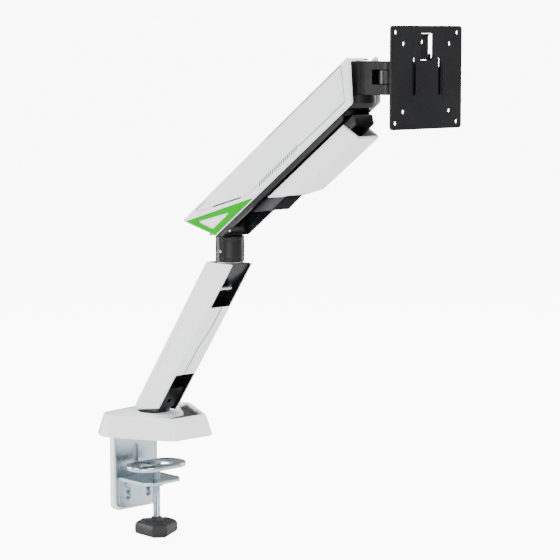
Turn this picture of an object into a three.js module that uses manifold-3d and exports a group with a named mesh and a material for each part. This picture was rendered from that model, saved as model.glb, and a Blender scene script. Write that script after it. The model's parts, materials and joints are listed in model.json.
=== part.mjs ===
// A desk-clamped monitor arm: clamp and base, leaning lower arm, gas-spring upper arm and tilting head.
// Millimetres, +X towards the screen, +Z up, origin on the base swivel axis in the desk plane.
import * as THREE from "three";
import { mergeVertices } from "three/addons/utils/BufferGeometryUtils.js";
import Module from "manifold-3d";

const wasm = await Module();
wasm.setup();

// Driving dimensions.
const GAP = 0.3;                       // clearance between neighbouring pieces
const RIM_Z = 28;                      // top of the base cover's rim
const BASE_DRAFT = 9;                  // how far the base cover's sides lean in
const CLAMP_X = -38;                   // front face of the clamp's back plate
const SCREW_X = 4;                     // clamp screw axis
const PRESS_Z = -42;                   // top of the pressure plate
const FLANGE_Z = -63;                  // top of the lower bracket's flange
const LOWER_HALF = 18.2;               // half width of the lower arm
const WALL = 2.4;                      // thickness of the plastic covers
const ELBOW_X = 149.5;                 // elbow swivel axis
const ELBOW_Z = 233;                   // top of the lower arm
const TUBE_TOP = 266.8;                // top of the elbow tube
const LIFT = new THREE.Vector3(144, 0, 302.6);  // upper arm's main pivot
const PITCH = THREE.MathUtils.degToRad(35.4);   // upper arm's slope at rest
const REACH = 250;                     // main pivot to head pivot, along the upper arm
const LINK_DROP = 20;                  // level link's pivots sit this far below the main ones
const ARM_HALF = 25;                   // half width of the upper arm
const SPRING_END = new THREE.Vector2(190, -6);  // gas spring's pivot in the upper arm, along and across it
const PAN_X = 372;                     // fork barrel's axis
const PIN_X = 428;                     // fork pin's axis
const FORK_BOTTOM = 446;
const FORK_TOP = 484;
const TILT_X = 457;                    // tilt axis
const HEAD_Z = 466.5;                  // height of the tilt axis and the plate's centre
const PLATE_X = 480;                   // front face of the screen plate
const PLATE_HALF = 57.5;
const VESA_HALF = [50, 37.5];          // half pitches of the two screw patterns
const LATCH_X = 473.4;                 // release latch's pivot
const LATCH_Z = HEAD_Z + 23;

const HEAD = new THREE.Vector3(
  LIFT.x + REACH * Math.cos(PITCH),
  0,
  LIFT.z + REACH * Math.sin(PITCH),
);

// ---------- solids ----------

function solid(geometry) {
  const bare = geometry.index ? geometry.toNonIndexed() : geometry.clone();
  bare.deleteAttribute("normal");
  bare.deleteAttribute("uv");
  const merged = mergeVertices(bare, 1e-4);
  const mesh = new wasm.Mesh({
    numProp: 3,
    vertProperties: merged.attributes.position.array,
    triVerts: new Uint32Array(merged.index.array),
  });
  return new wasm.Manifold(mesh);
}

function geometryOf(body) {
  const mesh = body.getMesh();
  const geometry = new THREE.BufferGeometry();
  geometry.setAttribute("position", new THREE.BufferAttribute(mesh.vertProperties, 3));
  geometry.setIndex(new THREE.BufferAttribute(mesh.triVerts, 1));
  const flat = geometry.toNonIndexed();
  flat.computeVertexNormals();
  return flat;
}

const join = (first, ...rest) => rest.reduce((sum, next) => sum.add(next), first);
const cut = (first, ...rest) => rest.reduce((sum, next) => sum.subtract(next), first);

function shapeOf(points) {
  return new THREE.Shape(points.map(([a, b]) => new THREE.Vector2(a, b)));
}

// A prism whose outline lies in the XZ plane, from one Y to another.
function prismY(outline, from, to, bevel = 0) {
  const shape = outline instanceof THREE.Shape ? outline : shapeOf(outline);
  const depth = to - from - 2 * bevel;
  const geometry = new THREE.ExtrudeGeometry(shape, {
    depth,
    bevelEnabled: bevel > 0,
    bevelThickness: bevel,
    bevelSize: bevel,
    bevelOffset: -bevel,
    bevelSegments: 1,
    curveSegments: 8,
  });
  return solid(geometry.rotateX(Math.PI / 2).translate(0, to - bevel, 0));
}

// A prism whose outline lies in the XY plane, from one height to another.
function prismZ(outline, from, to) {
  const shape = outline instanceof THREE.Shape ? outline : shapeOf(outline);
  const geometry = new THREE.ExtrudeGeometry(shape, {
    depth: to - from,
    bevelEnabled: false,
    curveSegments: 8,
  });
  return solid(geometry.translate(0, 0, from));
}

// A prism whose outline lies in the YZ plane, from one X to another.
function prismX(outline, from, to) {
  const shape = outline instanceof THREE.Shape ? outline : shapeOf(outline);
  const geometry = new THREE.ExtrudeGeometry(shape, {
    depth: to - from,
    bevelEnabled: false,
    curveSegments: 6,
  });
  return solid(geometry.rotateX(Math.PI / 2).rotateZ(Math.PI / 2).translate(from, 0, 0));
}

function box(x, y, z) {
  const geometry = new THREE.BoxGeometry(x[1] - x[0], y[1] - y[0], z[1] - z[0]);
  return solid(geometry.translate((x[0] + x[1]) / 2, (y[0] + y[1]) / 2, (z[0] + z[1]) / 2));
}

// Round bars along each axis; the last two numbers place the bar in the plane across it.
function barX(radius, from, to, y, z, segments = 20) {
  const geometry = new THREE.CylinderGeometry(radius, radius, to - from, segments);
  return solid(geometry.rotateZ(Math.PI / 2).translate((from + to) / 2, y, z));
}

function barY(radius, from, to, x, z, segments = 20) {
  const geometry = new THREE.CylinderGeometry(radius, radius, to - from, segments);
  return solid(geometry.translate(x, (from + to) / 2, z));
}

function barZ(radius, from, to, x, y, segments = 24) {
  const geometry = new THREE.CylinderGeometry(radius, radius, to - from, segments);
  return solid(geometry.rotateX(Math.PI / 2).translate(x, y, (from + to) / 2));
}

// A body of revolution about a vertical axis, from radius and height pairs.
function turnedZ(profile, x, y, segments = 28) {
  const points = profile.map(([radius, height]) => new THREE.Vector2(radius, height));
  return solid(new THREE.LatheGeometry(points, segments).rotateX(Math.PI / 2).translate(x, y, 0));
}

const material = (color, roughness, metalness) => () =>
  new THREE.MeshStandardMaterial({ color, roughness, metalness });
const whitePlastic = material(0xe9eaec, 0.45, 0);
const blackPaint = material(0x17181a, 0.4, 0.2);
const darkPlastic = material(0x2a2b2d, 0.6, 0);
const greenPlastic = material(0x22cc14, 0.35, 0);
const zincSteel = material(0xb4bec6, 0.32, 0.9);
const plainSteel = material(0x9a9ea3, 0.4, 0.9);
const polymer = material(0xcfc9b8, 0.55, 0);
const foam = material(0x1c1c1c, 0.95, 0);

const part = new THREE.Group();
const upperArm = new THREE.Group();
upperArm.position.copy(LIFT);
upperArm.rotation.y = -PITCH;
part.add(upperArm);

function put(name, body, look, group = part) {
  const mesh = new THREE.Mesh(geometryOf(body), look());
  mesh.name = name;
  group.add(mesh);
  return mesh;
}

// ---------- base ----------

const mirrorY = (points) => points.concat(points.map(([x, y]) => [x, -y]).reverse());
const RIM = mirrorY([[71, 28], [66, 31], [-6, 69], [-14, 69], [-33, 57], [-40, 12]].reverse());
const inset = (points, amount) =>
  points.map(([x, y]) => [x - Math.sign(x + 20) * amount, y - Math.sign(y) * amount]);

// The drafted block runs from the wide foot up to the rim outline.
function draftedBlock() {
  const geometry = new THREE.ExtrudeGeometry(shapeOf(RIM), {
    depth: 1,
    bevelThickness: RIM_Z,
    bevelSize: BASE_DRAFT,
    bevelSegments: 1,
  });
  const whole = solid(geometry.translate(0, 0, -1));
  return whole.intersect(box([-90, 110], [-110, 110], [0.6, RIM_Z]));
}

function makeBase() {
  const innerWall = prismZ(inset(RIM, 3.5), -1, RIM_Z + 1);
  const rearNotch = box([CLAMP_X - 4.6, -30], [-34, 34], [-1, 14]);
  put("base_cover", cut(draftedBlock(), innerWall, rearNotch), whitePlastic);

  const field = inset(RIM, 3.8);
  const frontCut = [[90, -80], [90, 80], [-12, 80], [-12, 62], [-4, 45], [42, 15], [47, -10], [50, -30], [62, -50]];
  const tray = prismZ(field, 20.5, 24.5);
  const deck = prismZ(field, 20.5, 27);
  const bore = barZ(15.5, 10, 40, 0, 0, 32);
  const platform = cut(deck, prismZ(frontCut, 10, 40), bore);
  put("base_platform", platform, whitePlastic);
  const clearOfDeck = prismZ(frontCut.map(([x, y]) => [x + GAP, y + 0.2]), 10, 40);
  put("cable_insert", tray.intersect(clearOfDeck), darkPlastic);

  const footprint = mirrorY([[58, 24], [-8, 58], [-28, 48], [-33, 12]]);
  put("desk_pad", prismZ(footprint, 0, 1.5), foam);
  const floor = prismZ(footprint, 1.8, 5.8);
  const flangeHoles = [-20, 0, 20].map((y) => barZ(2.8, 0, 9, -22, y, 12));
  put("base_plate", cut(floor, barZ(5.3, 0, 9, 0, 0), ...flangeHoles), plainSteel);
  const post = join(
    turnedZ([[0, 6.1], [14, 6.1], [14, 14], [9.7, 14], [9.7, 39.2], [0, 39.2]], 0, 0),
    barZ(5, 2.2, 7, 0, 0),
  );
  put("base_post", post, plainSteel);
  put("base_bush", cut(barZ(12.2, 27.3, 39.2, 0, 0, 28), barZ(10, 20, 60, 0, 0, 28)), polymer);
  const washer = cut(barZ(14.8, 21, 26.9, 0, 0, 32), barZ(10, 20, 30, 0, 0, 28));
  put("base_washer", washer, polymer);
}

// ---------- desk clamp ----------

function roundedPlate(halfWidth, bottom, top, radius) {
  const shape = new THREE.Shape();
  shape.moveTo(halfWidth, top);
  shape.lineTo(-halfWidth, top);
  shape.lineTo(-halfWidth, bottom + radius);
  shape.absarc(-halfWidth + radius, bottom + radius, radius, Math.PI, 1.5 * Math.PI, false);
  shape.lineTo(halfWidth - radius, bottom);
  shape.absarc(halfWidth - radius, bottom + radius, radius, 1.5 * Math.PI, 2 * Math.PI, false);
  shape.closePath();
  return shape;
}

function slotX(y, z0, z1, radius, from, to) {
  return join(
    barX(radius, from, to, y, z0, 16),
    barX(radius, from, to, y, z1, 16),
    box([from, to], [y - radius, y + radius], [z0, z1]),
  );
}

function makeClamp() {
  const back = prismX(roundedPlate(33, -104, 10.3, 8), CLAMP_X - 4, CLAMP_X);
  const flange = box([CLAMP_X - 4, -8], [-30, 30], [6.1, 10.3]);
  const adjuster = slotX(0, -52, -26, 4.2, CLAMP_X - 6, CLAMP_X + 2);
  const screwHoles = [-20, 0, 20].map((y) => barZ(2.8, 0, 12, -22, y, 12));
  const bracketHoles = [-17, 17].map((y) => barX(3.3, CLAMP_X - 6, CLAMP_X + 2, y, -74, 14));
  const upper = cut(join(back, flange), adjuster, ...screwHoles, ...bracketHoles);
  const postRelief = barZ(14.6, 5, 12, 0, 0, 28);
  put("clamp_upper_bracket", cut(upper, postRelief), zincSteel);

  const shell = prismX(roundedPlate(37, -108, -0.5, 9), CLAMP_X - 10, CLAMP_X - 0.4);
  const pocket = prismX(roundedPlate(33 + GAP, -104 - GAP, 5, 8), CLAMP_X - 4 - GAP, CLAMP_X + 5);
  const headRoom = [-17, 17].map((y) => barX(5.4, CLAMP_X - 8.2, CLAMP_X, y, -74, 16));
  put("clamp_back_cover", cut(shell, pocket, ...headRoom), whitePlastic);

  const legX = [CLAMP_X + GAP, CLAMP_X + GAP + 4];
  const leg = prismX(roundedPlate(31.5, -104, FLANGE_Z, 8), legX[0], legX[1]);
  const shelfShape = [[legX[1] - 0.2, -31.5], [14, -31.5], [20, -24], [24, -24], [24, 24], [20, 24], [14, 31.5],
    [legX[1] - 0.2, 31.5]];
  const shelf = prismZ(shelfShape, FLANGE_Z - 4, FLANGE_Z);
  const boss = barZ(9, FLANGE_Z - 9, FLANGE_Z - 2, SCREW_X, 0, 24);
  const keyholes = [-17, 17].flatMap((y) =>
    [-74, -82, -90].map((z) => barX(z === -74 ? 3.3 : 4.4, legX[0] - 1, legX[1] + 1, y, z, 14)));
  const thread = barZ(5.3, FLANGE_Z - 12, FLANGE_Z + 2, SCREW_X, 0, 24);
  put("clamp_lower_bracket", cut(join(leg, shelf, boss), thread, ...keyholes), zincSteel);

  for (const [name, y] of [["near", -17], ["far", 17]]) {
    const bolt = join(
      barX(3, CLAMP_X - 7.6, legX[1] + 2.6, y, -74, 12),
      barX(5, CLAMP_X - 7.8, CLAMP_X - 4 - GAP, y, -74, 6),
      barX(4.6, legX[1] + GAP, legX[1] + 2.8, y, -74, 16),
    );
    put(`bracket_bolt_${name}`, bolt, zincSteel);
  }
  for (const [name, y] of [["near", -20], ["mid", 0], ["far", 20]]) {
    const screw = join(barZ(2.5, 2.4, 11, -22, y, 12), barZ(4.5, 10.6, 13.4, -22, y, 16));
    put(`flange_screw_${name}`, screw, plainSteel);
  }

  const stadium = (half, radius) => {
    const shape = new THREE.Shape();
    shape.absarc(SCREW_X, half, radius, 0, Math.PI, false);
    shape.absarc(SCREW_X, -half, radius, Math.PI, 2 * Math.PI, false);
    shape.closePath();
    return shape;
  };
  const dish = cut(
    prismZ(stadium(18, 25), PRESS_Z - 6, PRESS_Z),
    prismZ(stadium(18, 22.5), PRESS_Z - 10, PRESS_Z - 2.4),
    prismZ(stadium(14, 9), PRESS_Z - 10, PRESS_Z + 5),
  );
  const bridge = cut(
    box([SCREW_X - 10, SCREW_X + 10], [-8, 8], [PRESS_Z - 5, PRESS_Z - 2.2]),
    barZ(4.3, PRESS_Z - 8, PRESS_Z + 2, SCREW_X, 0),
  );
  put("pressure_plate", join(dish, bridge), zincSteel);

  const rod = join(
    barZ(5, -118, PRESS_Z - 5 - GAP, SCREW_X, 0, 24),
    barZ(4, PRESS_Z - 7, PRESS_Z - 1.5, SCREW_X, 0, 20),
    barZ(6.5, PRESS_Z - 2.2 + GAP, PRESS_Z - 0.4, SCREW_X, 0, 20),
  );
  put("clamp_screw", rod, zincSteel);

  const lobes = [-31.7, 88.3, 208.3].flatMap((angle) => {
    const turn = THREE.MathUtils.degToRad(angle);
    return [-1, 1].map((side) => [
      SCREW_X + 27.5 * Math.cos(turn) - side * 9.5 * Math.sin(turn),
      27.5 * Math.sin(turn) + side * 9.5 * Math.cos(turn),
    ]);
  });
  const grip = join(prismZ(lobes, -137, -118.5), turnedZ([[0, -122], [9, -122], [7, -113.5], [0, -113.5]], SCREW_X, 0));
  const socket = barZ(5.3, -119, -110, SCREW_X, 0, 24);
  put("clamp_knob", cut(grip, socket), darkPlastic);
}

// ---------- lower arm ----------

const LEAN = (ELBOW_Z - 35) / (172.6 - 29.2);   // rise over run of the front face
const frontX = (z) => 172.6 - (ELBOW_Z - z) / LEAN;
const LOWER_OUTLINE = [[122, ELBOW_Z], [172.6, ELBOW_Z], [29.2, 35], [-10.4, 28.8], [-19.5, 34]];
const LOWER_LONG = 50.6;                         // length of the lower arm's level cut
const RECESS_TOP = 175;                          // the front is open above this height
const RECESS_LOW = 82;                           // and below this one
const CHANNEL = 17;                              // depth of the cable channel behind the arm's front
const acrossLower = Math.hypot(LEAN, 1) / LEAN;  // horizontal width of one millimetre across the arm

function lowerBand(backInset, frontInset, z0, z1) {
  const back = (z) => frontX(z) - LOWER_LONG + backInset * acrossLower;
  const front = (z) => frontX(z) - frontInset * acrossLower;
  return [[back(z0), z0], [front(z0), z0], [front(z1), z1], [back(z1), z1]];
}

// The lower arm's closed shell: straight sides that lean in over the last stretch towards the back.
const SLOPE = 9;                       // how far the leaning stretch reaches across the arm
const SLOPE_IN = 3;                    // how far it leans in

function lowerSolid() {
  const outline = [
    [-20, LOWER_HALF - SLOPE_IN - SLOPE_IN * 20 / SLOPE],
    [SLOPE, LOWER_HALF],
    [SLOPE, LOWER_HALF + 12],
    [-20, LOWER_HALF + 12],
  ];
  const wedge = new THREE.ExtrudeGeometry(shapeOf(outline), { depth: 320, bevelEnabled: false });
  const lean = Math.atan2(1, LEAN);
  wedge.rotateY(lean).translate(frontX(0) - LOWER_LONG - 10 * Math.sin(lean), 0, -10 * Math.cos(lean));
  const far = solid(wedge);
  const block = prismY(LOWER_OUTLINE, -LOWER_HALF, LOWER_HALF);
  return cut(block, far, far.mirror([0, 1, 0]));
}

// Everything that the shell leaves free, in two widths because the sides lean in.
function lowerHollow(play, frontInset, z0, z1) {
  return join(
    prismY(lowerBand(SLOPE + 1 + play, frontInset, z0, z1), -15.8 + play, 15.8 - play),
    prismY(lowerBand(WALL + play, frontInset, z0, z1), -12.7 + play, 12.7 - play),
  );
}

// The two halves meet along a wavy seam down the front.
function seamSide(side) {
  const edge = [[3.6, 240], [3.6, 150], [-2, 116], [-2, 20]].map(([y, z]) => [y + side * 0.25, z]);
  const outside = side * 40;
  return prismX([[outside, 240], ...edge, [outside, 20]], -60, 220);
}

const POST_END = 39.2;
const PIN_Z = 201.5;                   // cable pin across the upper recess
const PIN_X_LOW = 147.3;

function makeLowerArm() {
  const openEnds = [lowerHollow(0, -10, RECESS_TOP, 260), lowerHollow(0, -10, 10, RECESS_LOW)];
  const shell = cut(lowerSolid(), lowerHollow(0, WALL, 10, 260), ...openEnds);
  put("lower_cover_near", shell.intersect(seamSide(-1)), whitePlastic);
  put("lower_cover_far", shell.intersect(seamSide(1)), whitePlastic);

  const beam = lowerHollow(0.4, CHANNEL, 30, ELBOW_Z);
  const foot = barZ(21, 27.3, 60, 0, 0, 40);
  const footFront = prismY([[8, 28], [24, 34], [44, 62], [10, 62]], -15.4, 15.4);
  const seat = prismY([[169, ELBOW_Z], [161, 222], [150, 212], [140, 204], [130, 204], [130, ELBOW_Z]], -15.4, 15.4);
  const pinLug = box([124, 150], [-2, 3], [PIN_Z - 4.5, PIN_Z + 4.5]);
  const bounds = prismY([[-14.5, 27.3], [24, 27.3], [frontX(60), 60], [frontX(240) - 3, 240], [110, 240]], -30, 30);
  const inShell = join(beam, foot, footFront, seat, pinLug).intersect(bounds).intersect(lowerHollow(0.4, -10, 20, 260));
  const stop = box([126, 130.5], [-3, 3], [ELBOW_Z - 4, ELBOW_Z + 4.5]);
  const body = join(inShell, stop, barZ(21, 27.3, 28.2, 0, 0, 40));
  const bores = [
    barZ(12.5, 20, POST_END + 0.4, 0, 0, 28),
    barZ(8.3, 221, 250, ELBOW_X, 0, 24),
    barX(3.1, 16, 40, 0, 44, 12),
    barY(2.8, -10, 4, PIN_X_LOW, PIN_Z, 16),
  ];
  put("lower_arm_core", cut(body, ...bores), blackPaint);
  put("foot_screw", join(barX(2.8, 16.5, 22, 0, 44, 12), barX(2.4, 21, 24.5, 0, 44, 6)), blackPaint);
  const pin = join(
    barY(2.5, -15.4, 2.6, PIN_X_LOW, PIN_Z, 16),
    barY(3, -15.4, -12.9, PIN_X_LOW, PIN_Z, 16),
  );
  put("cable_pin", pin, zincSteel);
}

// ---------- elbow ----------

function makeElbow() {
  put("elbow_post", barZ(8, 221.4, 262, ELBOW_X, 0, 24), plainSteel);
  const bush = cut(barZ(12, ELBOW_Z + 1.9, 261, ELBOW_X, 0, 28), barZ(8.3, 200, 280, ELBOW_X, 0, 24));
  put("elbow_bush", bush, polymer);
  const washer = cut(barZ(16.5, ELBOW_Z + GAP, ELBOW_Z + 1.6, ELBOW_X, 0, 28), barZ(8.3, 200, 280, ELBOW_X, 0, 24));
  put("elbow_washer", washer, polymer);

  const tube = cut(
    barZ(18, ELBOW_Z + 1.9, TUBE_TOP, ELBOW_X, 0, 40),
    barZ(12.3, 220, 262.5, ELBOW_X, 0, 28),
    barY(2.3, -20, -10, ELBOW_X + 2, 248, 12),
  );
  put("elbow_tube", tube, blackPaint);
  put("elbow_set_screw", barY(2, -18.2, -12.6, ELBOW_X + 2, 248, 12), plainSteel);

  const low = LIFT.z - LINK_DROP;
  const cheek = (y0, y1) => join(
    prismY([[133, 267.1], [159, 267.1], [LIFT.x + 10, LIFT.z], [LIFT.x - 10, LIFT.z]], y0, y1),
    barY(10, y0, y1, LIFT.x, LIFT.z, 28),
  );
  const yoke = join(cheek(-19.2, -15), cheek(15, 19.2), box([133, 157], [-19.2, 19.2], [267.1, 270]));
  const bores = [barY(4.3, -30, 30, LIFT.x, LIFT.z), barY(3.3, -30, 30, LIFT.x, low, 16)];
  put("elbow_yoke", cut(yoke, ...bores), blackPaint);
  put("lift_pin", barY(4, -22.1, 22.1, LIFT.x, LIFT.z), plainSteel);
  put("link_pin_elbow", barY(3, -19.1, 19.1, LIFT.x, low, 16), plainSteel);
}

// ---------- upper arm, drawn along its own length from the main pivot ----------

const COVER_OUTLINE = [[-60, 17.5], [-17, -32], [275, -32], [301.5, 12.5], [298.5, 17.5]];

function coverHalf(side) {
  const whole = prismY(COVER_OUTLINE, -ARM_HALF, ARM_HALF, 3);
  const half = whole.intersect(side < 0
    ? box([-80, 320], [-40, -GAP / 2], [-50, 40])
    : box([-80, 320], [GAP / 2, 40], [-50, 40]));
  const inside = prismY([[-54, 15.1], [-16.5, -29], [330, -29], [330, 15.1]], -22.6, 22.6);
  const belowOpen = prismY([[-34, -12], [-14, -60], [330, -60], [330, -10], [0, -10]], -22.6, 22.6);
  const headOpen = box([226, 330], [-22.6, 22.6], [-60, 40]);
  return cut(half, inside, belowOpen, headOpen);
}

const TRIM_PANEL = [[-36, 1.5], [-15.5, -23], [28, -23]];

function shrunk(points, amount) {
  const middle = points.reduce(([a, b], [s, t]) => [a + s / points.length, b + t / points.length], [0, 0]);
  return points.map(([s, t]) => {
    const away = Math.hypot(s - middle[0], t - middle[1]);
    return [s - amount * (s - middle[0]) / away, t - amount * (t - middle[1]) / away];
  });
}

// The coloured frame on the lower corner of a side cover; grow widens it into the pocket that holds it.
function trimHalf(side, grow, depth) {
  const face = [[-62, 15.2 + grow], [68 + grow, -29.8 + grow], [70 + grow, -36], [-17, -36], [-66, 12]];
  const frame = prismY(face, ARM_HALF - depth, ARM_HALF + 1);
  const ring = cut(frame, prismY(shrunk(TRIM_PANEL, 2 * grow), 10, 40));
  return side < 0 ? ring.mirror([0, 1, 0]) : ring;
}

function makeUpperArm() {
  for (const [name, side] of [["near", -1], ["far", 1]]) {
    put(`arm_cover_${name}`, cut(coverHalf(side), trimHalf(side, GAP, 1.6)), whitePlastic, upperArm);
    const whole = prismY(COVER_OUTLINE, -ARM_HALF, ARM_HALF, 3);
    put(`trim_${name}`, whole.intersect(trimHalf(side, 0, 1.3)), greenPlastic, upperArm);
  }

  const wallShape = [[-44, 14.7], [-20, -28], [-8, -38], [250, -38], [263, -12], [263, 6], [250, 14.7]];
  const channel = join(
    prismY(wallShape, -22.2, -20),
    prismY(wallShape, 20, 22.2),
    box([-44, 224], [-21, 21], [12.2, 14.7]),
  );
  const bores = [
    barY(4.3, -30, 30, 0, 0),
    barY(4.3, -30, 30, REACH, 0),
    barY(4.3, -30, 30, SPRING_END.x, SPRING_END.y),
  ];
  put("arm_channel", cut(channel, ...bores), blackPaint, upperArm);
  put("spring_pin_arm", barY(4, -22.1, 22.1, SPRING_END.x, SPRING_END.y), plainSteel, upperArm);
  put("head_pin", barY(4, -22.1, 22.1, REACH, 0), plainSteel, upperArm);

  const trayShape = [[50, -38.4], [79, -54.5], [110, -53.2], [116, -50], [258, -50], [262, -38.4]];
  const trayRoom = box([40, 280], [-13.6, 13.6], [-60, -40.6]);
  put("cable_tray", cut(prismY(trayShape, -15.8, 15.8), trayRoom), darkPlastic, upperArm);
  const coverShape = [[84, -39.6], [108.5, -53.5], [142, -66], [256, -66], [243, -39.6]];
  const lid = cut(
    prismY(coverShape, -18.5, 18.5),
    prismY([[80, -30], [80, -60], [114, -60], [114, -53], [144, -63.6], [270, -63.6], [270, -30]], -16.2, 16.2),
    prismY([[80, -30], [80, -36], [60, -70], [114, -70], [114, -30]], -16.2, 16.2),
  );
  put("cable_cover", lid, whitePlastic, upperArm);
}

// ---------- level link and gas spring ----------

const DROP_S = -LINK_DROP * Math.sin(PITCH);
const DROP_T = -LINK_DROP * Math.cos(PITCH);

function makeLinkAndSpring() {
  const ends = [DROP_S, REACH + DROP_S];
  const bar = join(
    box([ends[0], ends[1]], [9.6, 14.4], [DROP_T - 4, DROP_T + 4]),
    ...ends.map((s) => barY(6.8, 9.6, 14.4, s, DROP_T, 20)),
  );
  put("level_link", cut(bar, ...ends.map((s) => barY(3.3, 0, 20, s, DROP_T, 16))), blackPaint, upperArm);

  const away = new THREE.Vector2(DROP_S - SPRING_END.x, DROP_T - SPRING_END.y);
  const span = away.length();
  const spring = new THREE.Group();
  spring.position.set(SPRING_END.x, 0, SPRING_END.y);
  spring.rotation.y = -Math.atan2(-away.y, -away.x);
  upperArm.add(spring);
  const lane = -3;
  const eye = join(barY(8.5, lane - 5, lane + 5, 0, 0, 20), box([-14, 0], [lane - 4, lane + 4], [-6, 6]));
  const cylinder = cut(
    join(barX(9, -128, -12, lane, 0, 24), eye),
    barY(4.3, -20, 20, 0, 0),
    barX(4.4, -140, -20, lane, 0, 20),
  );
  put("gas_cylinder", cylinder, blackPaint, spring);
  const rodEye = join(barY(8.6, lane - 4, lane + 4, -span, 0, 24), barX(4, -span + 6, -64, lane, 0, 20));
  put("gas_rod", cut(rodEye, barY(5.9, -20, 20, -span, 0, 20)), plainSteel, spring);
}

// ---------- head ----------

function makeKnuckle() {
  const low = HEAD.z - LINK_DROP;
  const lug = join(
    barY(9, -19.2, 19.2, HEAD.x, HEAD.z, 24),
    barY(8, -19.2, 19.2, HEAD.x, low, 24),
    box([HEAD.x - 8, HEAD.x + 6], [-19.2, 19.2], [low, HEAD.z]),
    prismY([[HEAD.x, low - 8], [HEAD.x + 12, 428], [PAN_X, 430.5], [PAN_X, 445.6], [HEAD.x, 445.6]], -19.2, 19.2),
  );
  const seat = join(
    turnedZ([[0, 430.5], [16, 430.5], [19.2, 435], [19.2, 445.6], [0, 445.6]], PAN_X, 0, 36),
    turnedZ([[0, 430.5], [17, 430.5], [19.5, 436], [19.5, 445.6], [0, 445.6]], PAN_X + 3, 0, 36)
      .intersect(box([300, 500], [-19.2, 19.2], [400, 500])),
  );
  const linkSlot = box([HEAD.x - 20, HEAD.x + 9.5], [9.2, 14.8], [low - 12, HEAD.z - 9.6]);
  const body = cut(
    join(lug, seat),
    linkSlot,
    barY(4.3, -30, 30, HEAD.x, HEAD.z),
    barY(3.3, -30, 30, HEAD.x, low, 16),
    barZ(6.3, 434, 460, PAN_X, 0, 24),
    barZ(17.4, FORK_BOTTOM - 0.3, 470, PAN_X, 0, 40),
  );
  put("knuckle", body, blackPaint);
  put("link_pin_head", barY(3, -19.1, 19.1, HEAD.x, low, 16), plainSteel);
  put("pan_post", barZ(6, 434.3, FORK_TOP + 0.2, PAN_X, 0, 24), plainSteel);
  const cap = turnedZ([[0, 484.5], [12.5, 484.5], [12.5, 485.6], [9, 486.8], [0, 487.2]], PAN_X, 0, 32);
  put("pan_cap", cap, zincSteel);
}

function makeFork() {
  const notch = [457.8, 474.9];
  const body = join(
    barZ(17, FORK_BOTTOM, FORK_TOP, PAN_X, 0, 40),
    box([PAN_X, PIN_X], [-17, 17], [FORK_BOTTOM, FORK_TOP]),
    barZ(17, FORK_BOTTOM, FORK_TOP, PIN_X, 0, 40),
  );
  const opened = cut(
    body,
    box([410.5, 460], [-30, 30], notch),
    barZ(6.3, 430, 500, PAN_X, 0, 24),
    barZ(4.3, 430, 500, PIN_X, 0, 20),
  );
  put("fork", opened, blackPaint);
  put("fork_pin", barZ(4, FORK_BOTTOM + 0.4, FORK_TOP - 0.4, PIN_X, 0, 20), plainSteel);

  const middle = [notch[0] + GAP, notch[1] - GAP];
  const lug = barY(9, -8.6, 8.6, TILT_X, HEAD_Z, 28);
  const tongue = cut(
    join(
      barZ(16.6, middle[0], middle[1], PIN_X, 0, 40),
      box([PIN_X, TILT_X - 4], [-8.6, 8.6], middle),
      lug,
    ),
    barZ(4.3, 430, 500, PIN_X, 0, 20),
    barY(3.3, -20, 20, TILT_X, HEAD_Z, 16),
  );
  put("tongue", tongue, blackPaint);
}

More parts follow.
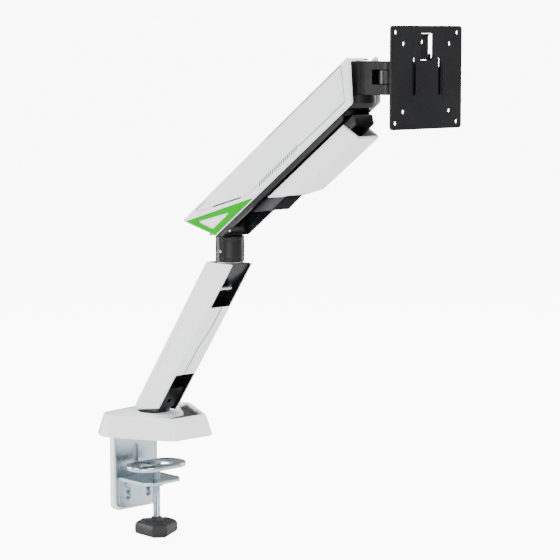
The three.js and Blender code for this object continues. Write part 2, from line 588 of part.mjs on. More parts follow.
function makeTiltHead() {
  const cheek = (y0, y1) => join(
    barY(10.5, y0, y1, TILT_X, HEAD_Z, 28),
    box([TILT_X, 467.5], [y0, y1], [HEAD_Z - 10.5, HEAD_Z + 10.5]),
  );
  const backing = box([466.6, 469.4], [-14.5, 14.5], [HEAD_Z - 15, HEAD_Z + 15]);
  const yoke = cut(
    join(cheek(-14.5, -9), cheek(9, 14.5), backing),
    barY(3.3, -20, 20, TILT_X, HEAD_Z, 16),
    barX(4.3, 460, 475, 0, HEAD_Z, 20),
  );
  put("tilt_yoke", yoke, blackPaint);
  const bolt = join(
    barY(3, -17, 18.5, TILT_X, HEAD_Z, 16),
    barY(5.5, -18.2, -14.8, TILT_X, HEAD_Z, 20),
  );
  put("tilt_bolt", bolt, plainSteel);
  put("tilt_nut", cut(barY(5.6, 14.8, 18.8, TILT_X, HEAD_Z, 6), barY(3.3, 10, 20, TILT_X, HEAD_Z, 16)), plainSteel);

  const at = ([y, z]) => [y, HEAD_Z + z];
  const backShape = [[-22, -26], [22, -26], [22, 16], [9.8, 18.4], [-9.8, 18.4], [-22, 16]].map(at);
  const ear = (y0, y1) => box([471, 476.4], [y0, y1], [HEAD_Z + 17, LATCH_Z + 3.4]);
  const bracket = cut(
    join(prismX(backShape, 472.6, 476.4), ear(-9.8, -7.4), ear(7.4, 9.8)),
    barX(4.3, 460, 480, 0, HEAD_Z, 20),
    barX(7.3, 473.8, 480, 0, HEAD_Z, 20),
    barY(1.5, -20, 20, LATCH_X, LATCH_Z, 12),
  );
  put("release_bracket", bracket, blackPaint);
  put("rotation_washer", cut(barX(12, 469.8, 472.2, 0, HEAD_Z, 28), barX(4.3, 460, 480, 0, HEAD_Z, 20)), polymer);
  put("rotation_bolt", join(barX(4, 466.8, 475, 0, HEAD_Z, 20), barX(7, 474.1, 476.4, 0, HEAD_Z, 20)), plainSteel);

  const latch = cut(
    join(
      barY(3.2, -7, 7, LATCH_X, LATCH_Z, 20),
      box([472, 475], [-7, 7], [LATCH_Z, HEAD_Z + 48.4]),
      box([472, 478.4], [-7, 7], [HEAD_Z + 47, HEAD_Z + 48.6]),
    ),
    barY(1.5, -20, 20, LATCH_X, LATCH_Z, 12),
    barX(2.6, 460, 480, -2, HEAD_Z + 39.5, 16),
    box([460, 476], [2.4, 4.4], [HEAD_Z + 33, HEAD_Z + 43.5]),
  );
  put("release_latch", latch, blackPaint);
  put("latch_pin", barY(1.2, -9.8, 9.8, LATCH_X, LATCH_Z, 12), plainSteel);

  const corner = 4;
  const outline = new THREE.Shape();
  const half = PLATE_HALF - corner;
  for (const [index, [y, z]] of [[half, half], [-half, half], [-half, -half], [half, -half]].entries()) {
    outline.absarc(y, HEAD_Z + z, corner, index * Math.PI / 2, (index + 1) * Math.PI / 2, false);
  }
  outline.closePath();
  const vesaHoles = VESA_HALF.flatMap((pitch) =>
    [[1, 1], [1, -1], [-1, 1], [-1, -1]].map(([a, b]) => barX(2.6, 470, 490, a * pitch, HEAD_Z + b * pitch, 12)));
  const window = prismX([[-10.5, 19], [7.5, 19], [10.5, 23], [10.5, 49], [-10.5, 49]].map(at), 470, 490);
  const slots = [-20.5, 20.5].map((y) => box([470, 490], [y - 2, y + 2], [HEAD_Z - 20, HEAD_Z + 23]));
  const rails = [-1, 1].map((side) => {
    const wall = side < 0 ? [-25, -22.8] : [22.8, 25];
    const lip = side < 0 ? [-25, -18.5] : [18.5, 25];
    return join(
      box([469.9, 478], wall, [HEAD_Z - 20, HEAD_Z + 12]),
      box([469.9, 472.1], lip, [HEAD_Z - 20, HEAD_Z + 12]),
    );
  });
  const plate = cut(prismX(outline, 476.9, PLATE_X), ...vesaHoles, window, ...slots);
  put("vesa_plate", join(plate, ...rails), blackPaint);
}

makeBase();
makeClamp();
makeLowerArm();
makeElbow();
makeUpperArm();
makeLinkAndSpring();
makeKnuckle();
makeFork();
makeTiltHead();

export default part;
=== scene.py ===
# %% [markdown]
# # A desk-clamped monitor arm
# The arm is a chain: clamp and base, leaning lower arm, elbow tube, gas-spring upper arm, fork and tongue, screen
# plate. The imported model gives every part's place and every joint. This script gives the parts their looks.
# Sizes in the cells are millimetres, and one helper turns them into Blender's metres.

# %% Load the frame
import json
import math

import bpy
import bmesh
import numpy as np
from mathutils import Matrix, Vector
from mathutils.geometry import tessellate_polygon

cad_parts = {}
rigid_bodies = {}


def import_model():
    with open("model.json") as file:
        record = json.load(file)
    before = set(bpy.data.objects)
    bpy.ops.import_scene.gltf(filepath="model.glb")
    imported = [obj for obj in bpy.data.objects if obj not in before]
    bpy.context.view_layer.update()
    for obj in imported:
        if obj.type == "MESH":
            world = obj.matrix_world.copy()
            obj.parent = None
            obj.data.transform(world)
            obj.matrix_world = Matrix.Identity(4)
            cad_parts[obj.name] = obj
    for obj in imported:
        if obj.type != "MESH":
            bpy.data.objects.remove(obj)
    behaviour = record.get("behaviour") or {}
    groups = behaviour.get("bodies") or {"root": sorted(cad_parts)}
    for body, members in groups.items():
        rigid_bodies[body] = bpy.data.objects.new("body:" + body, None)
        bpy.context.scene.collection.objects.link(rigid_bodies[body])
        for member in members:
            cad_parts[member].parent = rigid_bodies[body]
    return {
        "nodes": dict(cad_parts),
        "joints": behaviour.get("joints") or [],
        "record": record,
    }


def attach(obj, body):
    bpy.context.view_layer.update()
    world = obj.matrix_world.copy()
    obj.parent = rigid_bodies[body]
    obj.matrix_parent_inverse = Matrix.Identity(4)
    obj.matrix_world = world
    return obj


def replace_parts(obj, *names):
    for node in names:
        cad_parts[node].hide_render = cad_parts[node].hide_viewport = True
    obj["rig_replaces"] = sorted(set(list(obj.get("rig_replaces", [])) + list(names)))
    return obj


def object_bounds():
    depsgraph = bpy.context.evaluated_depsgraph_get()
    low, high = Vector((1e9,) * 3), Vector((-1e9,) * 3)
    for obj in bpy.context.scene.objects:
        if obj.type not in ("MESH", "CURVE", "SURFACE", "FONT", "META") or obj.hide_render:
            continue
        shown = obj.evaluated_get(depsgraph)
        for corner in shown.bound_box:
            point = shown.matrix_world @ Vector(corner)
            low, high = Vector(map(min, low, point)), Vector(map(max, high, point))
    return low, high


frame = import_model()
cad_bounds = [list(corner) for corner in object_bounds()]
NODES = frame["nodes"]
JOINTS = {joint["name"]: joint for joint in frame["joints"]}
BODY_OF = {node: body for body, members in frame["record"]["behaviour"]["bodies"].items() for node in members}
SLOT_OF = {part["node"]: part["material_slot"] for part in frame["record"]["subparts"]}
MM = 0.001

# %% [markdown]
# ## Camera, floor and light
# The arm is seen from the front right, a little from above, with a long lens so that upright edges stay upright.
# A wide pale floor and six soft lamps give the even light of a catalogue page: three broad ones, an upright strip
# at each side for the straight highlights that make black tube look round, and a low one for faces that lean down.
# The world and the floor look brighter to the camera than the light they give, which keeps the page nearly white.

# %% Camera and lamps
LENS, SENSOR_WIDTH, FARTHEST = 135, 36, 100
CAMERA_PLACE = (2.0834, -1.7315, 0.5126)
CAMERA_TILT, CAMERA_TURN = math.radians(83.37), math.radians(46.79)
camera_data = bpy.data.cameras.new("camera")
camera_data.lens = LENS
camera_data.sensor_width = SENSOR_WIDTH
camera_data.clip_end = FARTHEST
camera = bpy.data.objects.new("camera", camera_data)
camera.location = CAMERA_PLACE
camera.rotation_euler = (CAMERA_TILT, 0, CAMERA_TURN)
bpy.context.scene.collection.objects.link(camera)
bpy.context.scene.camera = camera

FLOOR_GAP = 0.0005
FLOOR_Z = cad_bounds[0][2] - FLOOR_GAP


def soft_lamp(name, place, aim, width, height, power):
    """A rectangular lamp at place that faces aim, in metres and watts."""
    data = bpy.data.lights.new(name, "AREA")
    data.shape = "RECTANGLE"
    data.size, data.size_y, data.energy = width, height, power
    lamp = bpy.data.objects.new(name, data)
    lamp.location = place
    lamp.rotation_euler = (Vector(aim) - Vector(place)).to_track_quat("-Z", "Y").to_euler()
    bpy.context.scene.collection.objects.link(lamp)


LAMPS = [
    ("key", (2.2, -0.2, 1.5), (0.2, 0, 0.3), 1.3, 1.3, 74),
    ("side", (-0.5, -2.4, 0.9), (0.2, 0, 0.3), 1.2, 1.4, 40),
    ("left_strip", (-1.6, -0.9, 0.5), (0.15, 0, 0.3), 0.3, 1.8, 48),
    ("right_strip", (0.7, 2.2, 0.8), (0.25, 0, 0.3), 0.3, 1.8, 30),
    ("top", (0.1, 0.2, 2.2), (0.2, 0, 0.2), 1.6, 1.6, 56),
    ("low", (1.5, -1.6, -0.10), (0.3, 0, 0.35), 1.6, 0.3, 22),
]
for lamp in LAMPS:
    soft_lamp(*lamp)
print("camera and", len(LAMPS), "lamps")

# %% World and floor
WORLD_LIGHT = 0.42
VIEW_GLOW = 9.0
FLOOR_HALF = 60
world = bpy.data.worlds.new("studio")
world.use_nodes = True
background = world.node_tree.nodes["Background"]
background.inputs["Color"].default_value = (1, 1, 1, 1)
background.inputs["Strength"].default_value = WORLD_LIGHT
bpy.context.scene.world = world


def brighter_in_view(tree, shader, output, strength):
    """Adds white light to a shader for what the camera sees directly, so the page stays nearly white."""
    nodes, links = tree.nodes, tree.links
    path = nodes.new("ShaderNodeLightPath")
    times = nodes.new("ShaderNodeMath")
    times.operation = "MULTIPLY"
    times.inputs[1].default_value = strength
    glow = nodes.new("ShaderNodeEmission")
    total = nodes.new("ShaderNodeAddShader")
    links.new(path.outputs["Is Camera Ray"], times.inputs[0])
    links.new(times.outputs[0], glow.inputs["Strength"])
    links.new(shader.outputs[0], total.inputs[0])
    links.new(glow.outputs[0], total.inputs[1])
    links.new(total.outputs[0], output.inputs["Surface"])


brighter_in_view(world.node_tree, background, world.node_tree.nodes["World Output"], VIEW_GLOW)
floor_mesh = bpy.data.meshes.new("floor")
floor_corners = [(x * FLOOR_HALF, y * FLOOR_HALF, FLOOR_Z) for x, y in ((-1, -1), (1, -1), (1, 1), (-1, 1))]
floor_mesh.from_pydata(floor_corners, [], [(0, 1, 2, 3)])
floor = bpy.data.objects.new("floor", floor_mesh)
bpy.context.scene.collection.objects.link(floor)
print("floor at", round(FLOOR_Z, 4), "metres")

# %% [markdown]
# ## Finishes
# Moulded ABS has a fine spark-eroded grain and hardly any colour change. Powder coat has a slow orange-peel swell
# with a finer speckle on it. Zinc plate is bright and bluish with cloudy patches, and turned steel has fine
# rings. Each of these is a node group that puts out a mask or a height, so several materials can share one group
# with their own scale.

# %% Node groups for surface effects
COARSE_SHARE = 0.3
SQUEEZE = 40


def new_group(name, inputs, outputs):
    """A shader node group with named float inputs (name, default) and outputs (name, socket kind)."""
    group = bpy.data.node_groups.new(name, "ShaderNodeTree")
    for label, default in inputs:
        socket = group.interface.new_socket(label, in_out="INPUT", socket_type="NodeSocketFloat")
        socket.default_value = default
    for label, kind in outputs:
        group.interface.new_socket(label, in_out="OUTPUT", socket_type=kind)
    return group, group.nodes.new("NodeGroupInput"), group.nodes.new("NodeGroupOutput")


def noise_in(group, source, scale_socket, detail, stretch=(1, 1, 1)):
    """A noise texture on object coordinates, stretched by a Mapping node, at the group's scale."""
    mapping = group.nodes.new("ShaderNodeMapping")
    mapping.inputs["Scale"].default_value = stretch
    noise = group.nodes.new("ShaderNodeTexNoise")
    noise.inputs["Detail"].default_value = detail
    group.links.new(source.outputs["Object"], mapping.inputs["Vector"])
    group.links.new(mapping.outputs["Vector"], noise.inputs["Vector"])
    group.links.new(scale_socket, noise.inputs["Scale"])
    return noise.outputs["Fac"]


def mixed(group, first, second, amount):
    """first * (1 - amount) + second * amount, as plain numbers."""
    mix = group.nodes.new("ShaderNodeMix")
    mix.data_type = "FLOAT"
    mix.inputs["Factor"].default_value = amount
    group.links.new(first, mix.inputs["A"])
    group.links.new(second, mix.inputs["B"])
    return mix.outputs["Result"]


def grain_group():
    """Height = 0.7 fine noise + 0.3 coarse noise; Cloud = slow noise for colour and roughness."""
    group, given, out = new_group(
        "moulded_grain", [("Fine", 3000.0), ("Coarse", 700.0), ("Cloud Scale", 14.0)],
        [("Height", "NodeSocketFloat"), ("Cloud", "NodeSocketFloat")])
    place = group.nodes.new("ShaderNodeTexCoord")
    fine = noise_in(group, place, given.outputs["Fine"], 2)
    coarse = noise_in(group, place, given.outputs["Coarse"], 3)
    cloud = noise_in(group, place, given.outputs["Cloud Scale"], 4)
    group.links.new(mixed(group, fine, coarse, COARSE_SHARE), out.inputs["Height"])
    group.links.new(cloud, out.inputs["Cloud"])
    return group


def brushed_group():
    """Height and Streaks = noise squeezed 40 times along one axis, so that it draws out into lines."""
    group, given, out = new_group(
        "brushed_lines", [("Scale", 90.0), ("Cloud Scale", 30.0)],
        [("Height", "NodeSocketFloat"), ("Streaks", "NodeSocketFloat"), ("Cloud", "NodeSocketFloat")])
    place = group.nodes.new("ShaderNodeTexCoord")
    streaks = noise_in(group, place, given.outputs["Scale"], 4, (1, 1, SQUEEZE))
    cloud = noise_in(group, place, given.outputs["Cloud Scale"], 5)
    group.links.new(streaks, out.inputs["Height"])
    group.links.new(streaks, out.inputs["Streaks"])
    group.links.new(cloud, out.inputs["Cloud"])
    return group


GRAIN = grain_group()
BRUSHED = brushed_group()
print("node groups:", GRAIN.name, BRUSHED.name)


# %% Materials
NOISE_LOW, NOISE_HIGH = 0.3, 0.7


def finish_material(name, group, values, colors, roughness, metallic=0.0, bump=0.05, depth=0.00003, mask="Cloud",
                    specular=0.5):
    """A Principled material whose colour and roughness drift with a group's mask and whose bump is its height.

    A noise texture's values lie mostly between NOISE_LOW and NOISE_HIGH, so that range is spread over the roughness.
    """
    material = bpy.data.materials.new(name)
    material.use_nodes = True
    tree = material.node_tree
    shader = tree.nodes["Principled BSDF"]
    effect = tree.nodes.new("ShaderNodeGroup")
    effect.node_tree = group
    for label, value in values.items():
        effect.inputs[label].default_value = value
    tint = tree.nodes.new("ShaderNodeMix")
    tint.data_type = "RGBA"
    tint.inputs["A"].default_value = (*colors[0], 1)
    tint.inputs["B"].default_value = (*colors[1], 1)
    tree.links.new(effect.outputs[mask], tint.inputs["Factor"])
    tree.links.new(tint.outputs["Result"], shader.inputs["Base Color"])
    spread = tree.nodes.new("ShaderNodeMapRange")
    spread.inputs["From Min"].default_value = NOISE_LOW
    spread.inputs["From Max"].default_value = NOISE_HIGH
    spread.inputs["To Min"].default_value = roughness[0]
    spread.inputs["To Max"].default_value = roughness[1]
    tree.links.new(effect.outputs[mask], spread.inputs["Value"])
    tree.links.new(spread.outputs["Result"], shader.inputs["Roughness"])
    ripple = tree.nodes.new("ShaderNodeBump")
    ripple.inputs["Strength"].default_value = bump
    ripple.inputs["Distance"].default_value = depth
    tree.links.new(effect.outputs["Height"], ripple.inputs["Height"])
    tree.links.new(ripple.outputs["Normal"], shader.inputs["Normal"])
    shader.inputs["Metallic"].default_value = metallic
    shader.inputs["Specular IOR Level"].default_value = specular
    return material


MATERIALS = {
    "white_plastic": finish_material(
        "white_abs", GRAIN, {"Fine": 2600.0, "Coarse": 600.0}, [(0.80, 0.81, 0.83), (0.86, 0.87, 0.89)],
        (0.34, 0.46), bump=0.25),
    "black_paint": finish_material(
        "black_powder_coat", GRAIN, {"Fine": 1500.0, "Coarse": 420.0},
        [(0.004, 0.004, 0.0045), (0.008, 0.008, 0.009)], (0.26, 0.38), bump=0.3, depth=0.00005, specular=0.22),
    "dark_plastic": finish_material(
        "dark_nylon", GRAIN, {"Fine": 1800.0, "Coarse": 500.0}, [(0.012, 0.012, 0.013), (0.022, 0.022, 0.024)],
        (0.42, 0.58), bump=0.5, depth=0.00005, specular=0.25),
    "green_plastic": finish_material(
        "green_gloss", GRAIN, {"Fine": 1500.0, "Coarse": 200.0}, [(0.0, 0.28, 0.0), (0.0, 0.34, 0.0)],
        (0.30, 0.42), bump=0.08, specular=0.03),
    "zinc_steel": finish_material(
        "zinc_plate", BRUSHED, {"Scale": 60.0, "Cloud Scale": 22.0}, [(0.40, 0.48, 0.53), (0.50, 0.58, 0.63)],
        (0.24, 0.32), metallic=1.0, bump=0.03),
    "plain_steel": finish_material(
        "turned_steel", BRUSHED, {"Scale": 110.0, "Cloud Scale": 80.0}, [(0.42, 0.43, 0.45), (0.60, 0.61, 0.63)],
        (0.18, 0.34), metallic=1.0, bump=0.2, mask="Streaks"),
    "bearing_polymer": finish_material(
        "acetal", GRAIN, {"Fine": 1200.0, "Coarse": 260.0}, [(0.58, 0.54, 0.44), (0.66, 0.62, 0.51)],
        (0.35, 0.5), bump=0.15),
    "foam_rubber": finish_material(
        "cell_rubber", GRAIN, {"Fine": 1400.0, "Coarse": 600.0}, [(0.018, 0.018, 0.018), (0.035, 0.035, 0.035)],
        (0.8, 0.95), bump=0.9, depth=0.0001),
}
floor.data.materials.append(finish_material(
    "pale_floor", GRAIN, {"Fine": 60.0, "Coarse": 14.0, "Cloud Scale": 2.0}, [(0.94, 0.94, 0.94), (0.96, 0.96, 0.96)],
    (0.6, 0.75), bump=0.02))
page = floor.data.materials[0].node_tree
brighter_in_view(page, next(node for node in page.nodes if node.type == "BSDF_PRINCIPLED"),
                 next(node for node in page.nodes if node.type == "OUTPUT_MATERIAL"), VIEW_GLOW)
print("materials:", ", ".join(material.name for material in MATERIALS.values()))

# %% [markdown]
# ## Shapes from numbers
# Nearly every part here is a plate, a block or a turned part. A plate is an outline with rounded corners carried
# along an edge profile: each step of the profile moves the outline in or out along its own normals and up along
# its thickness. A turned part is a profile carried round an axis. Both are grids of points worked out at once.

# %% Outlines
def rounded(corners, radius, steps=8):
    """A closed outline with round corners, and its outward normals.

    At a corner where the direction turns by T, the arc's centre lies on the bisector at radius / cos(T / 2), and
    its points are centre + radius * n, with n swinging from one edge's normal to the next one's.
    """
    corners = np.asarray(corners, float)
    radius = np.broadcast_to(np.asarray(radius, float), len(corners))
    before = corners - np.roll(corners, 1, axis=0)
    after = np.roll(corners, -1, axis=0) - corners
    before /= np.linalg.norm(before, axis=1)[:, None]
    after /= np.linalg.norm(after, axis=1)[:, None]
    turn = np.arctan2(before[:, 0] * after[:, 1] - before[:, 1] * after[:, 0], (before * after).sum(1))
    start = np.arctan2(-before[:, 0], before[:, 1])
    sign = np.sign(turn)
    middle = start + turn / 2
    reach = radius / np.cos(turn / 2)
    centres = corners - (sign * reach)[:, None] * np.stack([np.cos(middle), np.sin(middle)], 1)
    angle = start[:, None] + turn[:, None] * np.linspace(0, 1, steps + 1)
    normals = np.stack([np.cos(angle), np.sin(angle)], 2)
    points = centres[:, None] + (sign * radius)[:, None, None] * normals
    return points.reshape(-1, 2), normals.reshape(-1, 2)


def circle(radius, x=0.0, y=0.0, steps=48):
    """Points x + radius cos a, y + radius sin a, and their normals."""
    angle = np.linspace(0, 2 * math.pi, steps, endpoint=False)
    normals = np.stack([np.cos(angle), np.sin(angle)], 1)
    return normals * radius + (x, y), normals


def stadium(x, y, half_length, radius, steps=16, upright=True):
    """Two half circles of that radius whose centres lie half_length each side of (x, y)."""
    angle = np.linspace(0, math.pi, steps + 1)
    arc = np.stack([np.cos(angle), np.sin(angle)], 1)
    normals = np.concatenate([arc, -arc])
    shift = np.concatenate([np.full(len(arc), half_length), np.full(len(arc), -half_length)])
    points = normals * radius + np.stack([np.zeros_like(shift), shift], 1)
    if not upright:
        points, normals = points[:, ::-1] * (1, -1), normals[:, ::-1] * (1, -1)
    return points + (x, y), normals


def plain(points):
    """An outline with sharp corners, for cutters."""
    points = np.asarray(points, float)
    return points, np.zeros_like(points)


# %% Axes to draw in: each is (origin, first axis, second axis, depth axis), right-handed
PITCH = math.radians(35.4)
LIFT = np.array(JOINTS["arm_lift"]["pos_m"]) / MM
ALONG = np.array([math.cos(PITCH), 0, math.sin(PITCH)])
ABOVE = np.array([-math.sin(PITCH), 0, math.cos(PITCH)])
FLAT = (np.zeros(3), np.array([1.0, 0, 0]), np.array([0, 1.0, 0]), np.array([0, 0, 1.0]))
SIDE = (np.zeros(3), np.array([1.0, 0, 0]), np.array([0, 0, 1.0]), np.array([0, -1.0, 0]))
FRONT = (np.zeros(3), np.array([0, 1.0, 0]), np.array([0, 0, 1.0]), np.array([1.0, 0, 0]))
ARM = (LIFT, ALONG, ABOVE, np.array([0, -1.0, 0]))


def in_space(axes, first, second, depth):
    """origin + first * axis1 + second * axis2 + depth * axis3, for arrays of any shape."""
    origin, one, two, three = axes
    return (origin + np.multiply.outer(first, one) + np.multiply.outer(second, two)
            + np.multiply.outer(depth, three))


# %% Solids
MERGE, SLIVER = 2e-6, 1e-6
NO_AREA = 1e-9


def ring_faces(grid):
    """Four-sided faces between neighbouring rows of a grid of point numbers, each row closed on itself."""
    after = np.roll(grid, -1, axis=1)
    return np.stack([grid[:-1], after[:-1], after[1:], grid[1:]], -1).reshape(-1, 4)


def edge_profile(low, high, radius, steps=4):
    """(inset, height) pairs up a wall whose two edges are quarter circles of that radius."""
    if radius <= 0:
        return np.array([(0.0, low), (0.0, high)])
    angle = np.linspace(0, math.pi / 2, steps + 1)
    bottom = np.stack([radius * (1 - np.sin(angle)), low + radius * (1 - np.cos(angle))], 1)
    top = np.stack([bottom[::-1, 0], high + low - bottom[::-1, 1]], 1)
    return np.concatenate([bottom, top])


def mesh_from(name, points, faces):
    """A mesh in metres from points in millimetres."""
    mesh = bpy.data.meshes.new(name)
    mesh.from_pydata((np.asarray(points) * MM).tolist(), [], faces)
    mesh.update()
    return mesh


def scratch(mesh):
    """A loose object that holds a solid while it is being cut and joined."""
    body = bpy.data.objects.new("solid", mesh)
    bpy.context.scene.collection.objects.link(body)
    return body


def slab(axes, outer, low, high, edge=0.0, holes=(), profile=None):
    """A plate: each loop carried along an edge profile, point = outline - inset * normal, closed by two faces."""
    rows = edge_profile(low, high, edge) if profile is None else np.asarray(profile, float)
    points, faces, rims = [], [], []
    count = 0
    for index, (outline, normals) in enumerate([outer, *holes]):
        inward = 1 if index == 0 else -1
        steps = rows if index == 0 or profile is None else edge_profile(rows[0, 1], rows[-1, 1], edge)
        flat = outline[None] - inward * steps[:, 0][:, None, None] * normals[None]
        depth = np.broadcast_to(steps[:, 1][:, None], flat.shape[:2])
        points.append(in_space(axes, flat[..., 0], flat[..., 1], depth).reshape(-1, 3))
        around, up = len(outline), len(steps)
        grid = count + np.arange(around * up).reshape(up, around)
        quads = ring_faces(grid)
        faces += (quads if inward == 1 else quads[:, ::-1]).tolist()
        rims.append((flat[0], flat[-1], grid[0], grid[-1]))
        count += around * up
    for end in (0, 1):
        loops = [[Vector((*p, 0)) for p in rim[end]] for rim in rims]
        ids = np.concatenate([rim[2 + end] for rim in rims])
        flat = np.concatenate([rim[end] for rim in rims])
        triangles = np.array(tessellate_polygon(loops))
        a, b, c = (flat[triangles[:, k]] for k in range(3))
        area = (b[:, 0] - a[:, 0]) * (c[:, 1] - a[:, 1]) - (b[:, 1] - a[:, 1]) * (c[:, 0] - a[:, 0])
        keep = np.abs(area) > NO_AREA
        wrong = (area < 0) if end == 1 else (area > 0)
        triangles[wrong] = triangles[wrong][:, ::-1]
        faces += ids[triangles[keep]].tolist()
    return scratch(mesh_from("slab", np.concatenate(points), faces))


def turned(centre, axis, profile, steps=56):
    """A turned part: (radius, height) pairs carried round an axis, with a single point where the radius is zero."""
    axis = np.asarray(axis, float)
    aside = np.array([1.0, 0, 0]) if abs(axis[0]) < 0.9 else np.array([0, 1.0, 0])
    first = np.cross(aside, axis)
    first /= np.linalg.norm(first)
    second = np.cross(axis, first)
    profile = np.asarray(profile, float)
    angle = np.linspace(0, 2 * math.pi, steps, endpoint=False)
    radius = profile[:, 0][:, None]
    ring = in_space((np.asarray(centre, float), first, second, axis),
                    radius * np.cos(angle), radius * np.sin(angle),
                    np.broadcast_to(profile[:, 1][:, None], (len(profile), steps)))
    grid = np.arange(ring.shape[0] * steps).reshape(-1, steps)
    body = scratch(mesh_from("turned", ring.reshape(-1, 3), ring_faces(grid).tolist()))
    tidy_mesh(body.data)
    return body


def tidy_mesh(mesh):
    """Merges coincident points, drops empty faces and splits faces of many sides into triangles."""
    work = bmesh.new()
    work.from_mesh(mesh)
    bmesh.ops.remove_doubles(work, verts=work.verts, dist=MERGE)
    bmesh.ops.dissolve_degenerate(work, edges=work.edges, dist=SLIVER)
    bmesh.ops.triangulate(work, faces=[face for face in work.faces if len(face.verts) > 4])
    work.to_mesh(mesh)
    work.free()


def bar(centre, axis, radius, low, high, edge=0.4, steps=48):
    """A round bar with chamfered ends."""
    return turned(centre, axis, [(0, low), (radius - edge, low), (radius, low + edge), (radius, high - edge),
                                 (radius - edge, high), (0, high)], steps)


def block(x, y, z):
    """A plain box between pairs of limits, used as a cutter."""
    return slab(FLAT, plain([(x[0], y[0]), (x[1], y[0]), (x[1], y[1]), (x[0], y[1])]), *z)


def combine(operation, body, *others):
    """Joins, cuts or intersects solids, and gives back the first one with the result in it."""
    for other in others:
        change = body.modifiers.new("change", "BOOLEAN")
        change.operation = operation
        change.solver = "EXACT"
        change.object = other
        bpy.context.view_layer.update()
        result = bpy.data.meshes.new_from_object(body.evaluated_get(bpy.context.evaluated_depsgraph_get()))
        body.modifiers.clear()
        body.data = result
        bpy.data.objects.remove(other)
    return body


def cut(body, *others):
    """What is left of the first solid once the others are taken out of it."""
    return combine("DIFFERENCE", body, *others)


def join(body, *others):
    """All the solids made one."""
    return combine("UNION", body, *others)


def common(body, *others):
    """The room that all the solids share."""
    return combine("INTERSECT", body, *others)


# %% Finished pieces
made = {}


def piece(name, body, node, edge=0.4, angle=32, segments=2, look=None):
    """Turns a solid into a finished piece: merged, edges eased by a bevel, shaded, riding with its node's body.

    A piece with a look of its own is an extra: it rides with the node but doesn't take its place.
    """
    tidy_mesh(body.data)
    body.name = body.data.name = name
    if edge > 0:
        ease = body.modifiers.new("eased edges", "BEVEL")
        ease.width = edge * MM
        ease.segments = segments
        ease.limit_method = "ANGLE"
        ease.angle_limit = math.radians(angle)
        ease.use_clamp_overlap = True
        ease.harden_normals = False
    body.data.shade_smooth()
    body.data.set_sharp_from_angle(angle=math.radians(angle))
    if edge > 0:
        weigh = body.modifiers.new("flat faces stay flat", "WEIGHTED_NORMAL")
        weigh.keep_sharp = True
    body.data.materials.clear()
    body.data.materials.append(MATERIALS[look or SLOT_OF[node]])
    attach(body, BODY_OF[node])
    if look is None:
        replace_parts(body, node)
    made[name] = len(body.data.polygons)
    return body


def from_node(node):
    """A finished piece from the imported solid's own shape: a merged copy with eased edges."""
    return piece(node + "_eased", scratch(NODES[node].data.copy()), node, edge=0.3)


print("helpers ready:", ", ".join(tool.__name__ for tool in (slab, turned, bar, block, cut, join, common, piece)))

# %% [markdown]
# ## Upper arm covers
# The upper arm wears two moulded half shells. Each is a flat side with a chamfered rim and a roof that meets the
# other half along the middle. A panel line is pressed into the side, a row of slanted slots is cut through it near
# the lower edge, and a coloured frame is let into its lower corner. A solid cut from plates gives the sharp
# outlines that mouldings have, and the far half is the near half mirrored.

# %% Mirroring
def mirrored(body):
    """A copy on the other side of the middle plane: y becomes -y, and each face is turned to point outwards."""
    mesh = body.data.copy()
    points = np.empty(len(mesh.vertices) * 3, np.float32)
    mesh.vertices.foreach_get("co", points)
    points[1::3] *= -1
    mesh.vertices.foreach_set("co", points)
    mesh.flip_normals()
    mesh.update()
    return scratch(mesh)


def groove(axes, path, width, low, high):
    """A cutter that follows a line: the path's points moved half the width to each side, with round turns."""
    path = np.asarray(path, float)
    step = np.gradient(path, axis=0)
    step /= np.linalg.norm(step, axis=1)[:, None]
    aside = np.stack([step[:, 1], -step[:, 0]], 1) * width / 2
    outline = np.concatenate([path + aside, (path - aside)[::-1]])
    return slab(axes, plain(outline), low, high)


def moved_in(corners, distance):
    """Corners moved in along their mitres: p - d (a + b) / (1 + a.b), with a and b the two edges' normals."""
    corners = np.asarray(corners, float)
    run = np.roll(corners, -1, axis=0) - corners
    run /= np.linalg.norm(run, axis=1)[:, None]
    after = np.stack([run[:, 1], -run[:, 0]], 1)
    before = np.roll(after, 1, axis=0)
    return corners - distance * (before + after) / (1 + (before * after).sum(1))[:, None]


def moulding(axes, corners, radius, rows, steps=6):
    """A plate redrawn at each (inset, depth) row: corners moved in, rounded by what is left of their radius."""
    loops = np.array([rounded(moved_in(corners, inset), np.maximum(np.asarray(radius, float) - inset, 0.4), steps)[0]
                      for inset, _ in rows])
    depth = np.broadcast_to(np.asarray(rows, float)[:, 1][:, None], loops.shape[:2])
    points = in_space(axes, loops[..., 0], loops[..., 1], depth).reshape(-1, 3)
    grid = np.arange(len(points)).reshape(loops.shape[:2])
    faces = [*ring_faces(grid).tolist(), grid[0][::-1].tolist(), grid[-1].tolist()]
    return scratch(mesh_from("moulding", points, faces))


# %% Prisms and bars
X_AXIS, Y_AXIS, Z_AXIS = (1, 0, 0), (0, 1, 0), (0, 0, 1)


def prism(axes, corners, low, high, radius=0.0, edge=0.0):
    """A prism with rounded corners and, if asked, chamfers round both ends."""
    rows = [(edge, low), (0, low + edge), (0, high - edge), (edge, high)] if edge else [(0, low), (0, high)]
    if np.ndim(radius) == 0 and radius == 0:
        return slab(axes, plain(corners), low, high)
    return moulding(axes, corners, radius, rows)


def across(corners, y0, y1, radius=0.0, edge=0.0):
    """A prism drawn in the side view that runs from one y to another."""
    return prism(SIDE, corners, -y1, -y0, radius, edge)


def rod(axis, place, radius, low, high, edge=0.0, steps=40):
    """A round bar along x, y or z; place gives its two other coordinates, in axis order."""
    centre = np.insert(np.asarray(place, float), axis.index(1), 0.0)
    return bar(centre, axis, radius, low, high, edge if edge else 1e-3, steps)


